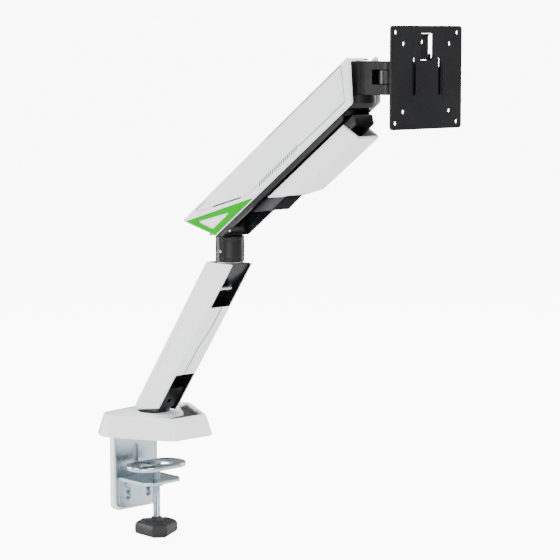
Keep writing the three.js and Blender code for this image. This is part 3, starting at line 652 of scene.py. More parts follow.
# %% Side covers and coloured frames
COVER = [(-60, 17.5), (-17, -32), (275, -32), (301.5, 12.5), (298.5, 17.5)]
HALF, RIM = 25.0, 3.0
INSIDE = 22.6
LINE_FLOOR = HALF - 0.8
MARK_LOW, MARK_HIGH, MARK_LEAN, MARK_THICK = -25.4, -20.4, 2.7, 0.5
cover_rows = [(0, 0.15), (0, HALF - RIM - 0.5), (0.12, HALF - RIM + 0.1), (RIM - 0.4, HALF - 0.12), (RIM, HALF)]


def cover_block():
    """The near half of the upper arm as one solid block, from the middle plane out to the chamfered side."""
    return moulding(ARM, COVER, [1.5, 4, 5, 3, 2.5], cover_rows)


def trim_region(grow, low, high):
    """The corner triangle of the side, with an inner window; grow widens it into the pocket that holds it."""
    face = [(-62, 15.2 + grow), (-66, 12), (-17, -36), (70 + grow, -36), (68 + grow, -29.8 + grow)]
    return slab(ARM, rounded(face, 0.8), low, high)


window = rounded([(-34.5, 0.6), (-15.0, -22.6), (26, -22.6)], 1.0)
panel_line = [(-6, 13.3), (-24.6, 13.9), (-27.6, 11.8), (2.5, -0.4), (55.6, -19.7), (84, -21.8)]
panel_end = [(173, -23.4), (266.5, -23.8), (284.6, 13.0), (283.0, 14.0), (129, 14.4)]


def panel_lines(low, high, play=0.0):
    """The panel line in its thin and thick stretches, and the row of slanted marks, between two depths."""
    lines = [
        groove(ARM, panel_line, 1.2 - play, low, high),
        groove(ARM, [(3.5, -0.8), (54.6, -19.4)], 2.0 - play, low + play, high + play / 2),
        groove(ARM, panel_end, 1.2 - play, low, high),
    ]
    for place in np.linspace(90, 170, 21):
        mark = [(place - MARK_LEAN, MARK_LOW), (place - MARK_THICK - play, MARK_LOW),
                (place + MARK_LEAN - play, MARK_HIGH), (place + MARK_THICK, MARK_HIGH)]
        lines.append(slab(ARM, plain(mark), low, high))
    return lines


near = cut(
    cover_block(),
    slab(ARM, plain([(-54, 15.1), (-16.5, -29), (330, -29), (330, 15.1)]), -30, INSIDE),
    slab(ARM, plain([(-34, -12), (-14, -60), (330, -60), (330, -10), (0, -10)]), -30, INSIDE),
    slab(ARM, plain([(226, -60), (330, -60), (330, 40), (226, 40)]), -30, INSIDE),
    trim_region(0.3, HALF - 1.35, HALF + 4),
    *panel_lines(LINE_FLOOR, HALF + 2),
)
far = mirrored(near)
# Dark strips sunk just below the surface in the panel line and the slanted marks are painted shade: they darken the
# groove floors as shade would.
groove_shade = join(*panel_lines(LINE_FLOOR, HALF - 0.2, 0.04))
groove_shade_far = mirrored(groove_shade)
piece("arm_cover_near_shell", near, "arm_cover_near", edge=0.35)
piece("arm_cover_far_shell", far, "arm_cover_far", edge=0.35)
piece("panel_line_shade_near", groove_shade, "arm_cover_near", edge=0, look="dark_plastic")
piece("panel_line_shade_far", groove_shade_far, "arm_cover_far", edge=0, look="dark_plastic")

frame_near = common(cover_block(), cut(trim_region(0, HALF - 1.3, HALF + 4), slab(ARM, window, 10, 40)))
frame_far = mirrored(frame_near)
piece("trim_frame_near", frame_near, "trim_near", edge=0.3)
piece("trim_frame_far", frame_far, "trim_far", edge=0.3)
print("covers and coloured frames:", made["arm_cover_near_shell"], "and", made["trim_frame_near"], "faces")

# %% [markdown]
# ## Under-arm channel
# Cables run under the arm in a dark channel that is open below, and a white lid clips over its upper stretch. Both
# are bent sheet shapes, so each is an outline in the arm's side view with its inside taken out.

# %% Cable tray and lid
tray = cut(
    slab(ARM, rounded([(50, -38.4), (79, -54.5), (110, -53.2), (116, -50), (258, -50), (262, -38.4)],
                      [0.8, 3, 3, 1, 0.8, 0.8]), -15.8, 15.8, edge=0.8),
    slab(ARM, plain([(40, -60), (280, -60), (280, -40.6), (40, -40.6)]), -13.6, 13.6),
)
piece("cable_tray_channel", tray, "cable_tray", edge=0.3)
lid = cut(
    slab(ARM, rounded([(84, -39.6), (108.5, -53.5), (142, -66), (256, -66), (243, -39.6)], [1, 8, 6, 3, 1]),
         -18.5, 18.5, edge=2.2),
    slab(ARM, plain([(80, -30), (80, -60), (114, -60), (114, -53), (144, -63.6), (270, -63.6), (270, -30)]),
         -16.2, 16.2),
    slab(ARM, plain([(80, -30), (80, -36), (60, -70), (114, -70), (114, -30)]), -16.2, 16.2),
)
piece("cable_lid", lid, "cable_cover", edge=0.35)
print("under-arm channel:", made["cable_tray_channel"], "and", made["cable_lid"], "faces")

# %% [markdown]
# ## Lower arm
# Two white half shells wrap a black cast core. In section the sides stand square to the front and lean in slightly
# towards the back. The front is open at the top and at the foot, where cables go in and come out, and the halves
# meet along a seam that swings across the front in a smooth S.

# %% Lower arm shells
FRONT_TOP, FRONT_FOOT = (172.6, 233.0), (29.2, 35.0)
LEAN = (FRONT_TOP[1] - FRONT_FOOT[1]) / (FRONT_TOP[0] - FRONT_FOOT[0])
LEVEL = 50.6
LOWER_HALF = 18.2
tilt = math.atan2(1, LEAN)
ACROSS = math.hypot(LEAN, 1) / LEAN


def front_x(z):
    """The x of the arm's leaning front edge at a height: the top's x less the drop divided by the slope."""
    return FRONT_TOP[0] - (FRONT_TOP[1] - z) / LEAN


def band(back, front, z0, z1):
    """The arm's side view between two heights, back and front millimetres in from its two long edges."""
    rear = [front_x(z) - LEVEL + back * ACROSS for z in (z0, z1)]
    ahead = [front_x(z) - front * ACROSS for z in (z0, z1)]
    return [(rear[0], z0), (ahead[0], z0), (ahead[1], z1), (rear[1], z1)]


def hollow(play, front, z0, z1):
    """The room inside the shells, in two widths because the sides lean in."""
    return join(
        slab(SIDE, plain(band(10 + play, front, z0, z1)), -15.8 + play, 15.8 - play),
        slab(SIDE, plain(band(2.4 + play, front, z0, z1)), -12.7 + play, 12.7 - play),
    )


UP_ARM = (np.array([front_x(0) - LEVEL, 0, 0]), np.array([math.cos(tilt), 0, -math.sin(tilt)]),
          np.array([0, 1.0, 0]), np.array([math.sin(tilt), 0, math.cos(tilt)]))
shell_rows = [(2, -LOWER_HALF), (0.6, 0.6 - LOWER_HALF), (0, 2 - LOWER_HALF), (0, LOWER_HALF - 2),
              (0.6, LOWER_HALF - 0.6), (2, LOWER_HALF)]
outline = [(122, 233), (-19.5, 34), (-10.4, 28.8), (29.2, 35), (172.6, 233)]
shell = cut(
    moulding(SIDE, outline, [1.2, 3, 3, 2.5, 1.2], shell_rows),
    slab(UP_ARM, plain([(-20, 8.5), (9, 18.2), (9, 30), (-20, 30)]), -20, 320),
    slab(UP_ARM, plain([(-20, -30), (9, -30), (9, -18.2), (-20, -8.5)]), -20, 320),
    hollow(0, 2.4, 10, 260), hollow(0, -10, 175, 260), hollow(0, -10, 10, 82),
)
heights = np.linspace(20, 245, 120)
ramp = np.clip((heights - 112) / 42, 0, 1)
seam = -2.0 + 5.6 * (3 * ramp ** 2 - 2 * ramp ** 3)


def seam_side(side):
    """Everything on one side of the seam, y = -2 + 5.6 (3 r^2 - 2 r^3), with half the gap taken off."""
    edge = np.stack([seam + side * 0.9, heights], 1)
    outside = np.array([(side * 40, 245), (side * 40, 20)])
    loop = np.concatenate([edge, outside]) if side < 0 else np.concatenate([edge, outside])[::-1]
    return slab(FRONT, plain(loop), -80, 240)


shell_copy = scratch(shell.data.copy())
near_shell = common(shell, seam_side(-1))
far_shell = common(shell_copy, seam_side(1))
slit = [(front_x(z) - LEVEL + 10.2 * ACROSS, z) for z in (86, 160)]
near_shell = cut(near_shell, groove(SIDE, slit, 1.1, LOWER_HALF - 0.8, LOWER_HALF + 2))
far_shell = cut(far_shell, groove(SIDE, slit, 1.1, -LOWER_HALF - 2, -LOWER_HALF + 0.8))
piece("lower_shell_near", near_shell, "lower_cover_near", edge=0.35, angle=12, segments=3)
piece("lower_shell_far", far_shell, "lower_cover_far", edge=0.35, angle=12, segments=3)

# %% Painted shade: dark sheets inside the openings and in the seam
SHADE_SHEET_SIDES, SHADE_SHEET_THICK = (-15.65, 15.15), 0.5
SEAM_FOOT, SEAM_TOP, SEAM_HALF = 82.5, 174.5, 0.88
# Thin black sheets just inside the white walls of the shells, along each side and round the two openings, are painted
# shade: they darken the insides as shade would.
opening_shade = join(*[across(band(10, 2.6, 30, 232), y, y + SHADE_SHEET_THICK) for y in SHADE_SHEET_SIDES])
opening_shade = join(opening_shade, *[across(band(12, 0.7, z0, z1), y, y + SHADE_SHEET_THICK) for y in SHADE_SHEET_SIDES
                      for z0, z1 in ((30, 81.6), (175.4, 231.5))])
piece("opening_shade_sheets", opening_shade, "lower_arm_core", edge=0, look="black_paint")
# A black strip set into the gap of the seam, just behind the front faces, is painted shade: it makes the seam read as
# a dark line.
between = (heights > SEAM_FOOT) & (heights < SEAM_TOP)
seam_band = np.concatenate([np.stack([seam + SEAM_HALF, heights], 1)[between],
                            np.stack([seam - SEAM_HALF, heights], 1)[between][::-1]])
front_wall = [(front_x(z) - inset * ACROSS, z)
              for z, inset in ((SEAM_FOOT, 2.2), (SEAM_FOOT, 0.2), (SEAM_TOP, 0.2), (SEAM_TOP, 2.2))]
seam_shade = common(slab(FRONT, plain(seam_band), -80, 240), across(front_wall, -12, 12))
piece("seam_shade_strip", seam_shade, "lower_arm_core", edge=0, look="black_paint")
print("lower arm shells:", made["lower_shell_near"], "faces each side")

# %% [markdown]
# ## Base
# The base is a drafted shell: its foot is nine millimetres wider than its rim all round. Inside the rim sits a white
# platform with a round clearance for the arm's foot, and in front of it a dark tray a little lower, where cables
# come out of the arm.

# %% Base cover, platform and insert
CORNERS = [(71, 28), (66, 31), (-6, 69), (-14, 69), (-33, 57), (-40, 12)]
RIM_LINE = np.array(CORNERS + [(x, -y) for x, y in CORNERS[::-1]], float)
RIM_ROUND = np.array([3, 3, 6, 6, 6, 4] + [4, 6, 6, 6, 3, 3], float)
RIM_TOP, FLARE = 28.0, 9.0


def inner_line(amount):
    """The rim outline shrunk towards (-20, 0) by the same amount in x and in y."""
    return RIM_LINE - amount * np.stack([np.sign(RIM_LINE[:, 0] + 20), np.sign(RIM_LINE[:, 1])], 1)


def draft(z):
    """The inset at a height: none at the rim, and FLARE millimetres outwards at the foot, in a straight line."""
    return -FLARE * (RIM_TOP - z) / RIM_TOP


base_rows = [(draft(1.6) + 0.7, 0.6), (draft(1.8), 1.8), (draft(26.4), 26.4), (draft(27.3) + 0.4, 27.3), (1.1, 28.0)]
base = cut(
    moulding(FLAT, RIM_LINE, RIM_ROUND, base_rows),
    moulding(FLAT, inner_line(3.5), np.maximum(RIM_ROUND - 2, 1), [(0, -1), (0, 27.2), (-0.9, 28.1), (-0.9, 29)]),
    block((-60, -30), (-34, 34), (-1, 14)),
)
piece("base_shell", base, "base_cover", edge=0.3, angle=24)

front_cut = [(90, -80), (90, 80), (-12, 80), (-12, 62), (-4, 45), (42, 15), (47, -10), (50, -30), (62, -50)]
front_round = [0.5, 0.5, 0.5, 3, 6, 9, 8, 6, 6]
platform = cut(
    prism(FLAT, inner_line(3.8), 20.5, 27, RIM_ROUND - 2),
    moulding(FLAT, front_cut, front_round, [(0, 10), (0, 40)]),
    rod(Z_AXIS, (0, 0), 15.5, 10, 40, steps=64),
    cut(prism(FLAT, inner_line(3.0), 22, 30, RIM_ROUND - 2), prism(FLAT, inner_line(5.2), 21, 31, RIM_ROUND - 2)),
)
piece("base_deck", platform, "base_platform", edge=1.0, angle=35, segments=3)
insert = common(
    prism(FLAT, inner_line(3.8), 20.5, 24.5, RIM_ROUND - 2),
    moulding(FLAT, np.array(front_cut) + (0.3, 0.2), front_round, [(0, 10), (0, 40)]),
)
tray_line = [(60, -24), (60, 24), (4, 52), (-2, 50), (50, 14), (54, -8)]
insert = cut(insert, moulding(FLAT, tray_line, 1.5, [(0.8, 23.3), (0, 25.0)]))
piece("base_tray", insert, "cable_insert", edge=0.4)
print("base:", made["base_shell"], made["base_deck"], made["base_tray"], "faces")

# %% [markdown]
# ## Desk clamp
# Two bent steel brackets slide on each other and are bolted at one of three heights. A screw with a real helical
# thread pushes a dished pressure plate up against the desk. Its rim is rolled and its middle carries a long slot
# crossed by a bridge that the screw's tip turns in.

# %% Brackets
CLAMP_X = -38.0
SCREW_XY = (4, 0)
BOLT_YS, BOLT_Z = (-17, 17), -74
FLANGE_X, FLANGE_YS = -22, (-20, 0, 20)


def plate_line(half, bottom, top):
    """The four corners of an upright plate that reaches half its width to each side."""
    return [(-half, bottom), (half, bottom), (half, top), (-half, top)]


bend = [(CLAMP_X - 4, -10), (CLAMP_X, -10), (CLAMP_X, 6.1), (-8, 6.1), (-8, 10.3), (CLAMP_X - 4, 10.3)]
upper = join(
    prism(FRONT, plate_line(33, -104, 8.0), CLAMP_X - 4, CLAMP_X, [8, 8, 0.5, 0.5]),
    across(bend, -30, 30, [0.2, 0.2, 1.2, 1.5, 1.5, 4.2]),
)
upper = cut(
    upper,
    slab(FRONT, stadium(0, -39, 13, 4.2), CLAMP_X - 8, CLAMP_X + 2),
    *[rod(Z_AXIS, (FLANGE_X, y), 2.8, 0, 14) for y in FLANGE_YS],
    *[rod(X_AXIS, (y, BOLT_Z), 3.3, CLAMP_X - 8, CLAMP_X + 4) for y in BOLT_YS],
    rod(Z_AXIS, (0, 0), 14.6, 2, 14, steps=64),
)
piece("upper_bracket", upper, "clamp_upper_bracket", edge=0.6, segments=3)

cover = cut(
    moulding(FRONT, plate_line(37, -108, -0.5), [9, 9, 1, 1],
             [(2, -48), (0.5, -47.4), (0, -46), (0, -38.4)], steps=10),
    prism(FRONT, plate_line(33.3, -104.3, 5), CLAMP_X - 4.3, CLAMP_X + 5, [8, 8, 0.5, 0.5]),
    *[rod(X_AXIS, (y, BOLT_Z), 5.4, CLAMP_X - 8.2, CLAMP_X + 2) for y in BOLT_YS],
)
piece("clamp_cover", cover, "clamp_back_cover", edge=0.4)

LEG = (CLAMP_X + 0.3, CLAMP_X + 4.3)
shelf_plan = [(LEG[0] - 1, -31.5), (14, -31.5), (20, -24), (24, -24), (24, 24), (20, 24), (14, 31.5),
              (LEG[0] - 1, 31.5)]
lower = join(
    prism(FRONT, plate_line(31.5, -104, -64.5), LEG[0], LEG[1], [8, 8, 0.5, 0.5]),
    common(
        across([(LEG[0], -72), (LEG[1], -72), (LEG[1], -67), (24, -67), (24, -63), (LEG[0], -63)],
               -31.5, 31.5, [0.2, 0.2, 1.5, 0.8, 0.8, 4]),
        moulding(FLAT, shelf_plan, [0.4, 3, 2, 1.5, 1.5, 2, 3, 0.4], [(0, -80), (0, -50)]),
    ),
    rod(Z_AXIS, SCREW_XY, 9, -72, -65, 0.6),
)
keyholes = [rod(X_AXIS, (y, z), 3.3 if z == BOLT_Z else 4.4, LEG[0] - 3, LEG[1] + 3) for y in BOLT_YS
            for z in (BOLT_Z, BOLT_Z - 8, BOLT_Z - 16)]
lower = cut(lower, rod(Z_AXIS, SCREW_XY, 5.3, -80, -55), *keyholes)
piece("lower_bracket", lower, "clamp_lower_bracket", edge=0.6, segments=3)

# %% Pressure plate, screw and knob
PRESS = -42.0
dish_rows = [(2.2, PRESS - 6), (0.6, PRESS - 5.7), (0, PRESS - 4.6), (0, PRESS - 1.6), (0.6, PRESS - 0.4),
             (1.8, PRESS), (3.0, PRESS - 0.3), (4.2, PRESS - 1.3)]
dish = cut(
    slab(FLAT, stadium(*SCREW_XY, 18, 25, 32), 0, 0, profile=dish_rows),
    slab(FLAT, stadium(*SCREW_XY, 18, 22.5, 32), PRESS - 10, PRESS - 3.4),
    slab(FLAT, stadium(*SCREW_XY, 14, 9, 24), PRESS - 10, PRESS + 5),
)
ring = slab(FLAT, stadium(*SCREW_XY, 14, 12.4, 24), 0, 0,
            profile=[(0, PRESS - 3.2), (0, PRESS - 1.4), (0.8, PRESS - 0.5), (2.4, PRESS - 0.5), (3.0, PRESS - 1.0)])
ring = cut(ring, slab(FLAT, stadium(*SCREW_XY, 14, 9, 24), PRESS - 10, PRESS + 5))
bridge = cut(
    prism(FLAT, [(-7, -8), (15, -8), (15, 8), (-7, 8)], PRESS - 5, PRESS - 2.2, 0.6),
    rod(Z_AXIS, SCREW_XY, 4.3, PRESS - 8, PRESS + 2),
)
piece("pressure_dish", join(dish, ring, bridge), "pressure_plate", edge=0.3, angle=30)


def threaded(centre, radius, depth, pitch, low, high, around=36, per_turn=6):
    """A screw: radius - depth * |2 f - 1| with f the fraction of a turn, f = z / pitch - angle / (2 pi), mod 1."""
    turns = int((high - low) / pitch * per_turn)
    z = np.linspace(low, high, turns + 1)[:, None]
    angle = np.linspace(0, 2 * math.pi, around, endpoint=False)[None]
    fraction = np.mod(z / pitch - angle / (2 * math.pi), 1)
    fade = np.clip(np.minimum(z - low, high - z) / pitch, 0, 1)
    spread = radius - depth * (1 - fade) - depth * fade * np.abs(2 * fraction - 1)
    points = np.stack([centre[0] + spread * np.cos(angle), centre[1] + spread * np.sin(angle),
                       np.broadcast_to(z, spread.shape)], 2)
    grid = np.arange(points.shape[0] * around).reshape(-1, around)
    faces = [*ring_faces(grid).tolist(), grid[0][::-1].tolist(), grid[-1].tolist()]
    return scratch(mesh_from("thread", points.reshape(-1, 3), faces))


thread = threaded(SCREW_XY, 5, 0.55, 1.6, -113.0, PRESS - 5.3 - 1.0)
screw = join(
    thread,
    rod(Z_AXIS, SCREW_XY, 4.3, -118, PRESS - 5.5, 0.2),
    rod(Z_AXIS, SCREW_XY, 3.9, PRESS - 8, PRESS - 1.5, 0.2),
    rod(Z_AXIS, SCREW_XY, 6.5, PRESS - 1.9, PRESS - 0.4, 0.4),
)
piece("press_screw", screw, "clamp_screw", edge=0)

turns = np.radians([-31.7, 88.3, 208.3])
arms = np.stack([np.cos(turns), np.sin(turns)], 1)
ends = [27.5 * arms - side * 9.5 * np.stack([arms[:, 1], -arms[:, 0]], 1) for side in (-1, 1)]
lobes = np.stack(ends, 1).reshape(-1, 2)
lobes = lobes[np.argsort(np.arctan2(lobes[:, 1], lobes[:, 0]))] + SCREW_XY
grip_rows = [(4.5, -137), (1.2, -135.2), (0, -132.5), (0, -124.5), (1.4, -121.2), (5.5, -118.5)]
neck_rows = [(0, -122), (11, -122), (9.6, -117.5), (7.4, -114.6), (6.6, -113.5), (0, -113.5)]
grip = join(
    moulding(FLAT, lobes, 1.6, grip_rows),
    turned((*SCREW_XY, 0), Z_AXIS, neck_rows, 48),
)
scoops = [rod(Z_AXIS, (SCREW_XY[0] + 45.5 * math.cos(a), 45.5 * math.sin(a)), 21, -140, -110, steps=64)
          for a in turns + math.pi / 3]
piece("knob_grip", cut(grip, rod(Z_AXIS, SCREW_XY, 5.3, -119, -105), *scoops), "clamp_knob", edge=0.6, angle=28)
print("clamp:", {name: made[name] for name in ("upper_bracket", "lower_bracket", "pressure_dish", "press_screw")})

# %% [markdown]
# ## Elbow
# A black tube stands on the lower arm and turns on a steel post. A forked yoke on top of it holds the main pivot of
# the upper arm. The tube has a rolled lip at each end, which catches the light.

# %% Elbow tube and yoke
ELBOW_X = 149.5
GRUB_PLACE = (ELBOW_X + 2, 248)
LINK_DROP = 20
tube = cut(
    turned((ELBOW_X, 0, 0), Z_AXIS,
           [(0, 234.9), (17.0, 234.9), (17.7, 235.4), (18, 236.2), (18, 239.0), (17.7, 239.4), (17.7, 240.0),
            (18, 240.4), (18, 261.4), (17.6, 261.9), (17.6, 262.5), (18, 263.0), (18, 265.6), (17.6, 266.4),
            (16.8, 266.8), (0, 266.8)], 72),
    rod(Z_AXIS, (ELBOW_X, 0), 12.3, 220, 262.5, steps=48),
    rod(Y_AXIS, GRUB_PLACE, 2.3, -20, -10, steps=28),
)
piece("elbow_sleeve", tube, "elbow_tube", edge=0.15, angle=40)


def cheek(y0, y1):
    """One side of the yoke: a tapering plate with a round end about the lift axis."""
    return join(
        across([(133, 267.1), (159, 267.1), (LIFT[0] + 10, LIFT[2]), (LIFT[0] - 10, LIFT[2])], y0, y1),
        rod(Y_AXIS, (LIFT[0], LIFT[2]), 10, y0, y1, steps=56),
    )


yoke = cut(
    join(cheek(-19.2, -15), cheek(15, 19.2), block((133, 157), (-19.2, 19.2), (267.1, 270))),
    rod(Y_AXIS, (LIFT[0], LIFT[2]), 4.3, -30, 30),
    rod(Y_AXIS, (LIFT[0], LIFT[2] - LINK_DROP), 3.3, -30, 30),
)
piece("elbow_fork", yoke, "elbow_yoke", edge=0.8)
print("elbow:", made["elbow_sleeve"], made["elbow_fork"], "faces")

# %% [markdown]
# ## Head
# The knuckle at the end of the arm stays level and carries an upright pan axis. A long fork pans on it, a tongue
# swivels in the fork, and a small yoke tilts on the tongue. The screen plate turns and lifts off in front.

# %% Fork and tongue
HEAD = np.array(JOINTS["head_level"]["pos_m"]) / MM
PAN_X, PIN_X, TILT_X, HEAD_Z = 372.0, 428.0, 457.0, 466.5
FORK_LOW, FORK_HIGH = 446.0, 484.0
THROUGH_HEAD = (430, 500)
long_loop = stadium((PAN_X + PIN_X) / 2, 0, (PIN_X - PAN_X) / 2, 17, 28, upright=False)
fork = cut(
    slab(FLAT, long_loop, FORK_LOW, FORK_HIGH, edge=1.4),
    block((410.5, 460), (-30, 30), (457.8, 474.9)),
    rod(Z_AXIS, (PAN_X, 0), 6.3, *THROUGH_HEAD),
    rod(Z_AXIS, (PIN_X, 0), 4.3, *THROUGH_HEAD),
    *[groove(FLAT, [(392, y), (392, y + 7.4)], 0.6, FORK_LOW - 2, FORK_HIGH + 2) for y in (-24, 16.6)],
)
piece("pan_fork", fork, "fork", edge=0.4)
tongue = cut(
    join(
        rod(Z_AXIS, (PIN_X, 0), 16.6, 458.1, 474.6, 0.8, 72),
        block((PIN_X, TILT_X - 4), (-8.6, 8.6), (458.1, 474.6)),
        rod(Y_AXIS, (TILT_X, HEAD_Z), 9, -8.6, 8.6, 0.6, 56),
    ),
    rod(Z_AXIS, (PIN_X, 0), 4.3, *THROUGH_HEAD),
    rod(Y_AXIS, (TILT_X, HEAD_Z), 3.3, -20, 20),
)
piece("swivel_tongue", tongue, "tongue", edge=0.5)

# %% Release bracket and latch
LATCH_X, LATCH_Z, LATCH_BORE = 473.4, HEAD_Z + 23, 1.5
back_line = [(-22, -26), (22, -26), (22, 16), (9.8, 18.4), (-9.8, 18.4), (-22, 16)]
bracket = cut(
    join(
        prism(FRONT, np.array(back_line) + (0, HEAD_Z), 472.6, 476.4, [2.5, 2.5, 2, 0.6, 0.6, 2]),
        block((471, 476.4), (-9.8, -7.4), (HEAD_Z + 17, LATCH_Z + 3.4)),
        block((471, 476.4), (7.4, 9.8), (HEAD_Z + 17, LATCH_Z + 3.4)),
    ),
    rod(X_AXIS, (0, HEAD_Z), 4.3, 460, 480),
    rod(X_AXIS, (0, HEAD_Z), 7.3, 473.8, 480),
    rod(Y_AXIS, (LATCH_X, LATCH_Z), LATCH_BORE, -20, 20),
)
piece("release_plate", bracket, "release_bracket", edge=0.3)
latch = cut(
    join(
        rod(Y_AXIS, (LATCH_X, LATCH_Z), 3.2, -7, 7, 0.3, 40),
        prism(FRONT, [(-7, LATCH_Z), (7, LATCH_Z), (7, HEAD_Z + 48.4), (-7, HEAD_Z + 48.4)], 472, 475,
              [0.3, 0.3, 1, 1]),
        prism(FLAT, [(472, -7), (478.4, -7), (478.4, 7), (472, 7)], HEAD_Z + 47, HEAD_Z + 48.6, [0.2, 1.5, 1.5, 0.2]),
    ),
    rod(Y_AXIS, (LATCH_X, LATCH_Z), LATCH_BORE, -20, 20),
    rod(X_AXIS, (-2, HEAD_Z + 39.5), 2.6, 460, 480),
    slab(FRONT, stadium(3.4, HEAD_Z + 38.25, 4.25, 1.0), 460, 476),
)
piece("latch_leaf", latch, "release_latch", edge=0.25)

# %% Screen plate
HALF_PLATE = 57.5
plate_square = np.array([(-HALF_PLATE, -HALF_PLATE), (HALF_PLATE, -HALF_PLATE), (HALF_PLATE, HALF_PLATE),
                         (-HALF_PLATE, HALF_PLATE)]) + (0, HEAD_Z)
window_line = np.array([(-10.5, 19), (7.5, 19), (10.5, 23), (10.5, 49), (-10.5, 49)]) + (0, HEAD_Z)
holes = [circle(2.6, a * reach, HEAD_Z + b * reach) for reach in (50, 37.5) for a in (-1, 1) for b in (-1, 1)]
slots = [slab(FRONT, stadium(y, HEAD_Z + 1.5, 19.5, 2.0), 470, 490) for y in (-20.5, 20.5)]
plate = slab(FRONT, rounded(plate_square, 4), 476.9, 480, edge=0.3, holes=holes)
rails = []
for side in (-1, 1):
    inner, outer = sorted((side * 22.8, side * 25)), sorted((side * 18.5, side * 25))
    rails.append(block((469.9, 478), inner, (HEAD_Z - 20, HEAD_Z + 12)))
    rails.append(block((469.9, 472.1), outer, (HEAD_Z - 20, HEAD_Z + 12)))
bands = [slab(FRONT, stadium(y, HEAD_Z - 2, 17, 1.3), 479.6, 482) for y in (-24.5, 24.5)]
plate = cut(join(plate, *rails), prism(FRONT, window_line, 470, 490, [1, 1, 1, 1, 1]), *slots, *bands)
piece("screen_plate_sheet", plate, "vesa_plate", edge=0.25, angle=35)
print("head:", made["pan_fork"], made["swivel_tongue"], "plate:", made["screen_plate_sheet"])

# %% [markdown]
# ## Channel
# Between the two covers runs a black steel channel. Its near wall shows below the cover as a dark rail with a
# bright line along its rolled edge.

# %% Arm channel
SPRING_END = np.array(JOINTS["spring_swing"]["pos_m"]) / MM
wall = [(-44, 14.7), (-20, -28), (-8, -38), (250, -38), (263, -12), (263, 6), (250, 14.7)]
wall_round = [1, 3, 3, 3, 4, 4, 2]
channel = cut(
    join(
        prism(ARM, wall, -22.2, -20, wall_round),
        prism(ARM, wall, 20, 22.2, wall_round),
        slab(ARM, plain([(-44, 12.2), (224, 12.2), (224, 14.7), (-44, 14.7)]), -21, 21),
    ),
    *[bar(place, Y_AXIS, 4.3, -30, 30) for place in (LIFT, HEAD, SPRING_END)],
)
piece("arm_rail_channel", channel, "arm_channel", edge=0.5, segments=3)
print("channel:", made["arm_rail_channel"], "faces")

# %% [markdown]
# ## Lower arm core
# The black casting inside the lower arm is a beam along the back, a round foot on the base axis, a seat under the
# elbow and a small lug for the cable pin. In front of the beam is the room that the cables run through.

# %% Core
PEG_PLACE, FOOT_SCREW_PLACE = (147.3, 201.5), (0, 44)
CORE_SIDE, FOOT_RADIUS = 15.4, 21
seat = [(130, 204), (140, 204), (150, 212), (161, 222), (169, 233), (130, 233)]
core = join(
    hollow(0.4, 17, 30, 233),
    rod(Z_AXIS, (0, 0), FOOT_RADIUS, 27.3, 60, steps=72),
    across([(8, 28), (24, 34), (44, 62), (10, 62)], -CORE_SIDE, CORE_SIDE),
    across(seat, -CORE_SIDE, CORE_SIDE),
    block((124, 150), (-2, 3), (197, 206)),
)
limits = [(-14.5, 27.3), (24, 27.3), (front_x(60), 60), (front_x(240) - 3, 240), (110, 240)]
core = common(core, across(limits, -30, 30), hollow(0.4, -10, 20, 260))
core = join(core, block((126, 130.5), (-3, 3), (229, 237.5)),
            rod(Z_AXIS, (0, 0), FOOT_RADIUS, 27.3, 28.2, 0.2, 72))
core = cut(
    core,
    rod(Z_AXIS, (0, 0), 12.5, 20, 39.6),
    rod(Z_AXIS, (ELBOW_X, 0), 8.3, 221, 250),
    rod(X_AXIS, FOOT_SCREW_PLACE, 3.1, 16, 40),
    rod(Y_AXIS, PEG_PLACE, 2.8, -10, 4),
)
piece("lower_casting", core, "lower_arm_core", edge=0.5, angle=30)
print("core:", made["lower_casting"], "faces")

# %% [markdown]
# ## Link, spring, pins and washers
# The small parts are bars and rings with chamfered ends, each along one axis, so a table and one loop make them all.
# A gas spring stands between the arm and the elbow's lower pin, where the link that keeps the head level also starts.

# %% Gas spring
toward = SPRING_END - (LIFT - (0, 0, LINK_DROP))
toward[1] = 0
span = np.linalg.norm(toward)
toward /= span
SPRING = (SPRING_END, toward, np.array([-toward[2], 0, toward[0]]), np.array([0, -1.0, 0]))
LANE = np.array([0, -3.0, 0])
cylinder = cut(
    join(
        turned(SPRING_END + LANE, toward, [(0, -128), (8.2, -128), (9, -127), (9, -120), (8.6, -119.4), (8.6, -118.6),
                                           (9, -118), (9, -13), (8, -12), (0, -12)], 56),
        bar(SPRING_END, Y_AXIS, 8.5, -8, 2),
        slab(SPRING, plain([(-14, -6), (0, -6), (0, 6), (-14, 6)]), -1, 7),
    ),
    bar(SPRING_END, Y_AXIS, 4.3, -20, 20),
    bar(SPRING_END + LANE, toward, 4.4, -140, -20),
)
piece("spring_tube", cylinder, "gas_cylinder", edge=0.3)
eye = SPRING_END - toward * span
spring_rod = cut(
    join(bar(eye, Y_AXIS, 8.6, -7, 1), bar(SPRING_END + LANE, toward, 4, -span + 6, -64)),
    bar(eye, Y_AXIS, 5.9, -20, 20),
)
piece("spring_piston", spring_rod, "gas_rod", edge=0.3)
print("gas spring:", made["spring_tube"], "and", made["spring_piston"], "faces")

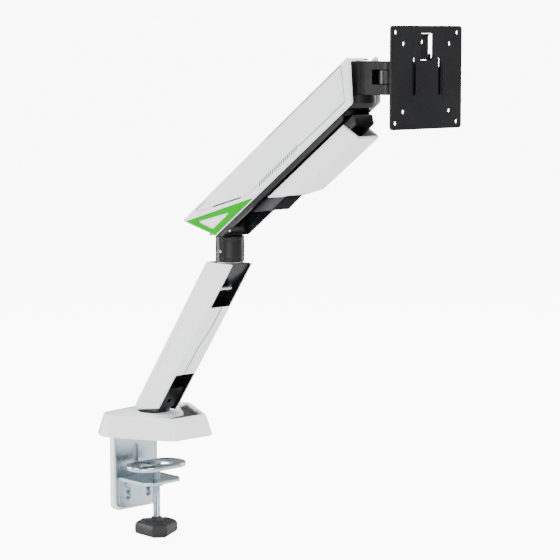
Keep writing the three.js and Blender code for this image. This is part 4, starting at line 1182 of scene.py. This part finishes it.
# %% Straight pins, tubes and washers: node, axis, place, outer radius, bore, from, to
ROUND_PARTS = [
    ("lift_pin", Y_AXIS, (LIFT[0], LIFT[2]), 4, 0, -22.1, 22.1),
    ("link_pin_elbow", Y_AXIS, (LIFT[0], LIFT[2] - LINK_DROP), 3, 0, -19.1, 19.1),
    ("spring_pin_arm", Y_AXIS, (SPRING_END[0], SPRING_END[2]), 4, 0, -22.1, 22.1),
    ("head_pin", Y_AXIS, (HEAD[0], HEAD[2]), 4, 0, -22.1, 22.1),
    ("link_pin_head", Y_AXIS, (HEAD[0], HEAD[2] - LINK_DROP), 3, 0, -19.1, 19.1),
    ("elbow_post", Z_AXIS, (ELBOW_X, 0), 8, 0, 221.4, 262),
    ("elbow_bush", Z_AXIS, (ELBOW_X, 0), 12, 8.3, 234.9, 261),
    ("elbow_washer", Z_AXIS, (ELBOW_X, 0), 16.5, 8.3, 233.3, 234.6),
    ("base_bush", Z_AXIS, (0, 0), 12.2, 10, 27.3, 39.2),
    ("base_washer", Z_AXIS, (0, 0), 14.8, 10, 21, 26.9),
    ("pan_post", Z_AXIS, (PAN_X, 0), 6, 0, 434.3, 484.2),
    ("fork_pin", Z_AXIS, (PIN_X, 0), 4, 0, 446.4, 483.6),
    ("rotation_washer", X_AXIS, (0, HEAD_Z), 12, 4.3, 469.8, 472.2),
    ("latch_pin", Y_AXIS, (LATCH_X, LATCH_Z), 1.2, 0, -9.8, 9.8),
]
for node, axis, place, outer, bore, start, end in ROUND_PARTS:
    body = rod(axis, place, outer, start, end, min(0.5, outer / 6), 64)
    if bore:
        body = cut(body, rod(axis, place, bore, start - 2, end + 2, steps=64))
    piece(node + "_bar", body, node, edge=0.15 if bore else 0)
print(len(ROUND_PARTS), "pins, bushes and washers")

# %% [markdown]
# ## Screws, nuts and caps
# A screw here is a shank with a wider head. Some heads are six-sided, and others have a six-sided socket cut into
# them. The threads are hidden, so only the clamp's long screw has a real one.

# %% Screws of the clamp
def six_sided(axis, place, radius, low, high):
    """A hexagonal head: a bar with six sides and chamfered ends."""
    return rod(axis, place, radius, low, high, 0.5, steps=6)


for side, y in zip(("near", "far"), BOLT_YS):
    place = (y, BOLT_Z)
    bolt = join(rod(X_AXIS, place, 3, -45.6, -31.1, 0.4), six_sided(X_AXIS, place, 5, -45.8, -42.3),
                rod(X_AXIS, place, 4.6, -33.4, -30.9, 0.5))
    piece("clamp_bolt_" + side, bolt, "bracket_bolt_" + side, edge=0.15)
for side, y in zip(("near", "mid", "far"), FLANGE_YS):
    place = (FLANGE_X, y)
    screw = join(rod(Z_AXIS, place, 2.5, 2.4, 11, 0.3), rod(Z_AXIS, place, 4.5, 10.6, 13.4, 0.9))
    screw = cut(screw, six_sided(Z_AXIS, place, 1.9, 11.8, 15))
    piece("countersunk_" + side, screw, "flange_screw_" + side, edge=0)
print("clamp screws:", made["clamp_bolt_near"], "and", made["countersunk_near"], "faces each")

# %% Screws of the lower arm and elbow
pin = join(rod(Y_AXIS, PEG_PLACE, 2.5, -CORE_SIDE, 2.6, 0.3), rod(Y_AXIS, PEG_PLACE, 3, -CORE_SIDE, -12.9, 0.5))
piece("cable_peg", pin, "cable_pin", edge=0)
foot = join(rod(X_AXIS, FOOT_SCREW_PLACE, 2.8, 16.5, 22, 0.4), rod(X_AXIS, FOOT_SCREW_PLACE, 2.4, 21, 24.5, 0.3, 6))
piece("foot_grub", foot, "foot_screw", edge=0)
grub = cut(rod(Y_AXIS, GRUB_PLACE, 2, -18.2, -12.6, 0.3), six_sided(Y_AXIS, GRUB_PLACE, 1.1, -20, -16))
piece("elbow_grub", grub, "elbow_set_screw", edge=0)
print("arm screws:", made["cable_peg"], made["foot_grub"], made["elbow_grub"], "faces")

# %% Screws and cap of the head
TILT_PLACE, TURN_PLACE = (TILT_X, HEAD_Z), (0, HEAD_Z)
bolt = join(rod(Y_AXIS, TILT_PLACE, 3, -17, 18.5, 0.4), rod(Y_AXIS, TILT_PLACE, 5.5, -18.2, -14.8, 0.8))
piece("tilt_screw", cut(bolt, six_sided(Y_AXIS, TILT_PLACE, 2.6, -20, -16.2)), "tilt_bolt", edge=0.1)
nut = cut(six_sided(Y_AXIS, TILT_PLACE, 5.6, 14.8, 18.8), rod(Y_AXIS, TILT_PLACE, 3.3, 10, 20))
piece("tilt_hexagon", nut, "tilt_nut", edge=0.2)
turn_bolt = join(rod(X_AXIS, TURN_PLACE, 4, 466.8, 475, 0.3), rod(X_AXIS, TURN_PLACE, 7, 474.1, 476.4, 0.6))
piece("turn_screw", cut(turn_bolt, six_sided(X_AXIS, TURN_PLACE, 3, 475.2, 480)), "rotation_bolt", edge=0.1)
cap_rows = [(0, 484.5), (12.1, 484.5), (12.5, 484.8), (12.5, 485.5),
            (12.1, 485.9), (9, 486.8), (5, 487.1), (0, 487.2)]
piece("pan_top_cap", turned((PAN_X, 0, 0), Z_AXIS, cap_rows, 72), "pan_cap", edge=0)
print("head screws:", made["tilt_screw"], made["tilt_hexagon"], made["turn_screw"], "faces")

# %% [markdown]
# ## Spindle, floor plate and foam
# The arm stands on a stepped steel spindle that rises from a flat plate inside the base, and a thin foam pad with the
# same outline keeps the plate off the desk.

# %% Spindle, foam pad and base plate
post = join(
    turned((0, 0, 0), Z_AXIS, [(0, 6.1), (13.5, 6.1), (14, 6.6), (14, 13.5), (13.5, 14), (9.7, 14), (9.7, 38.7),
                               (9.2, 39.2), (0, 39.2)], 64),
    rod(Z_AXIS, (0, 0), 5, 2.2, 7),
)
piece("base_spindle", post, "base_post", edge=0.1)
pad_line = [(58, -24), (58, 24), (-8, 58), (-28, 48), (-33, 12), (-33, -12), (-28, -48), (-8, -58)]
piece("desk_foam", moulding(FLAT, pad_line, 2, [(0.3, 0), (0, 0.3), (0, 1.2), (0.3, 1.5)]), "desk_pad", edge=0)
floor_plate = cut(
    moulding(FLAT, pad_line, 2, [(0.5, 1.8), (0, 2.3), (0, 5.3), (0.5, 5.8)]),
    rod(Z_AXIS, (0, 0), 5.3, 0, 9, steps=64),
    *[rod(Z_AXIS, (FLANGE_X, y), 2.8, 0, 9) for y in FLANGE_YS],
)
piece("base_floor", floor_plate, "base_plate", edge=0.2)
print(len(made), "pieces so far")

# %% [markdown]
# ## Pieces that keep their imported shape
# The level link, the knuckle and the tilt yoke are mostly hidden. New versions cut from plates came out with open
# edges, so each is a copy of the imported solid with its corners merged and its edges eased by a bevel.

# %% Every node that has no finished piece yet
replaced = {node for item in bpy.data.objects for node in item.get("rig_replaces", [])}
eased = [node for node in NODES if node not in replaced]
for node in eased:
    from_node(node)
print("eased:", ", ".join(eased), "so", len(made), "pieces in all")
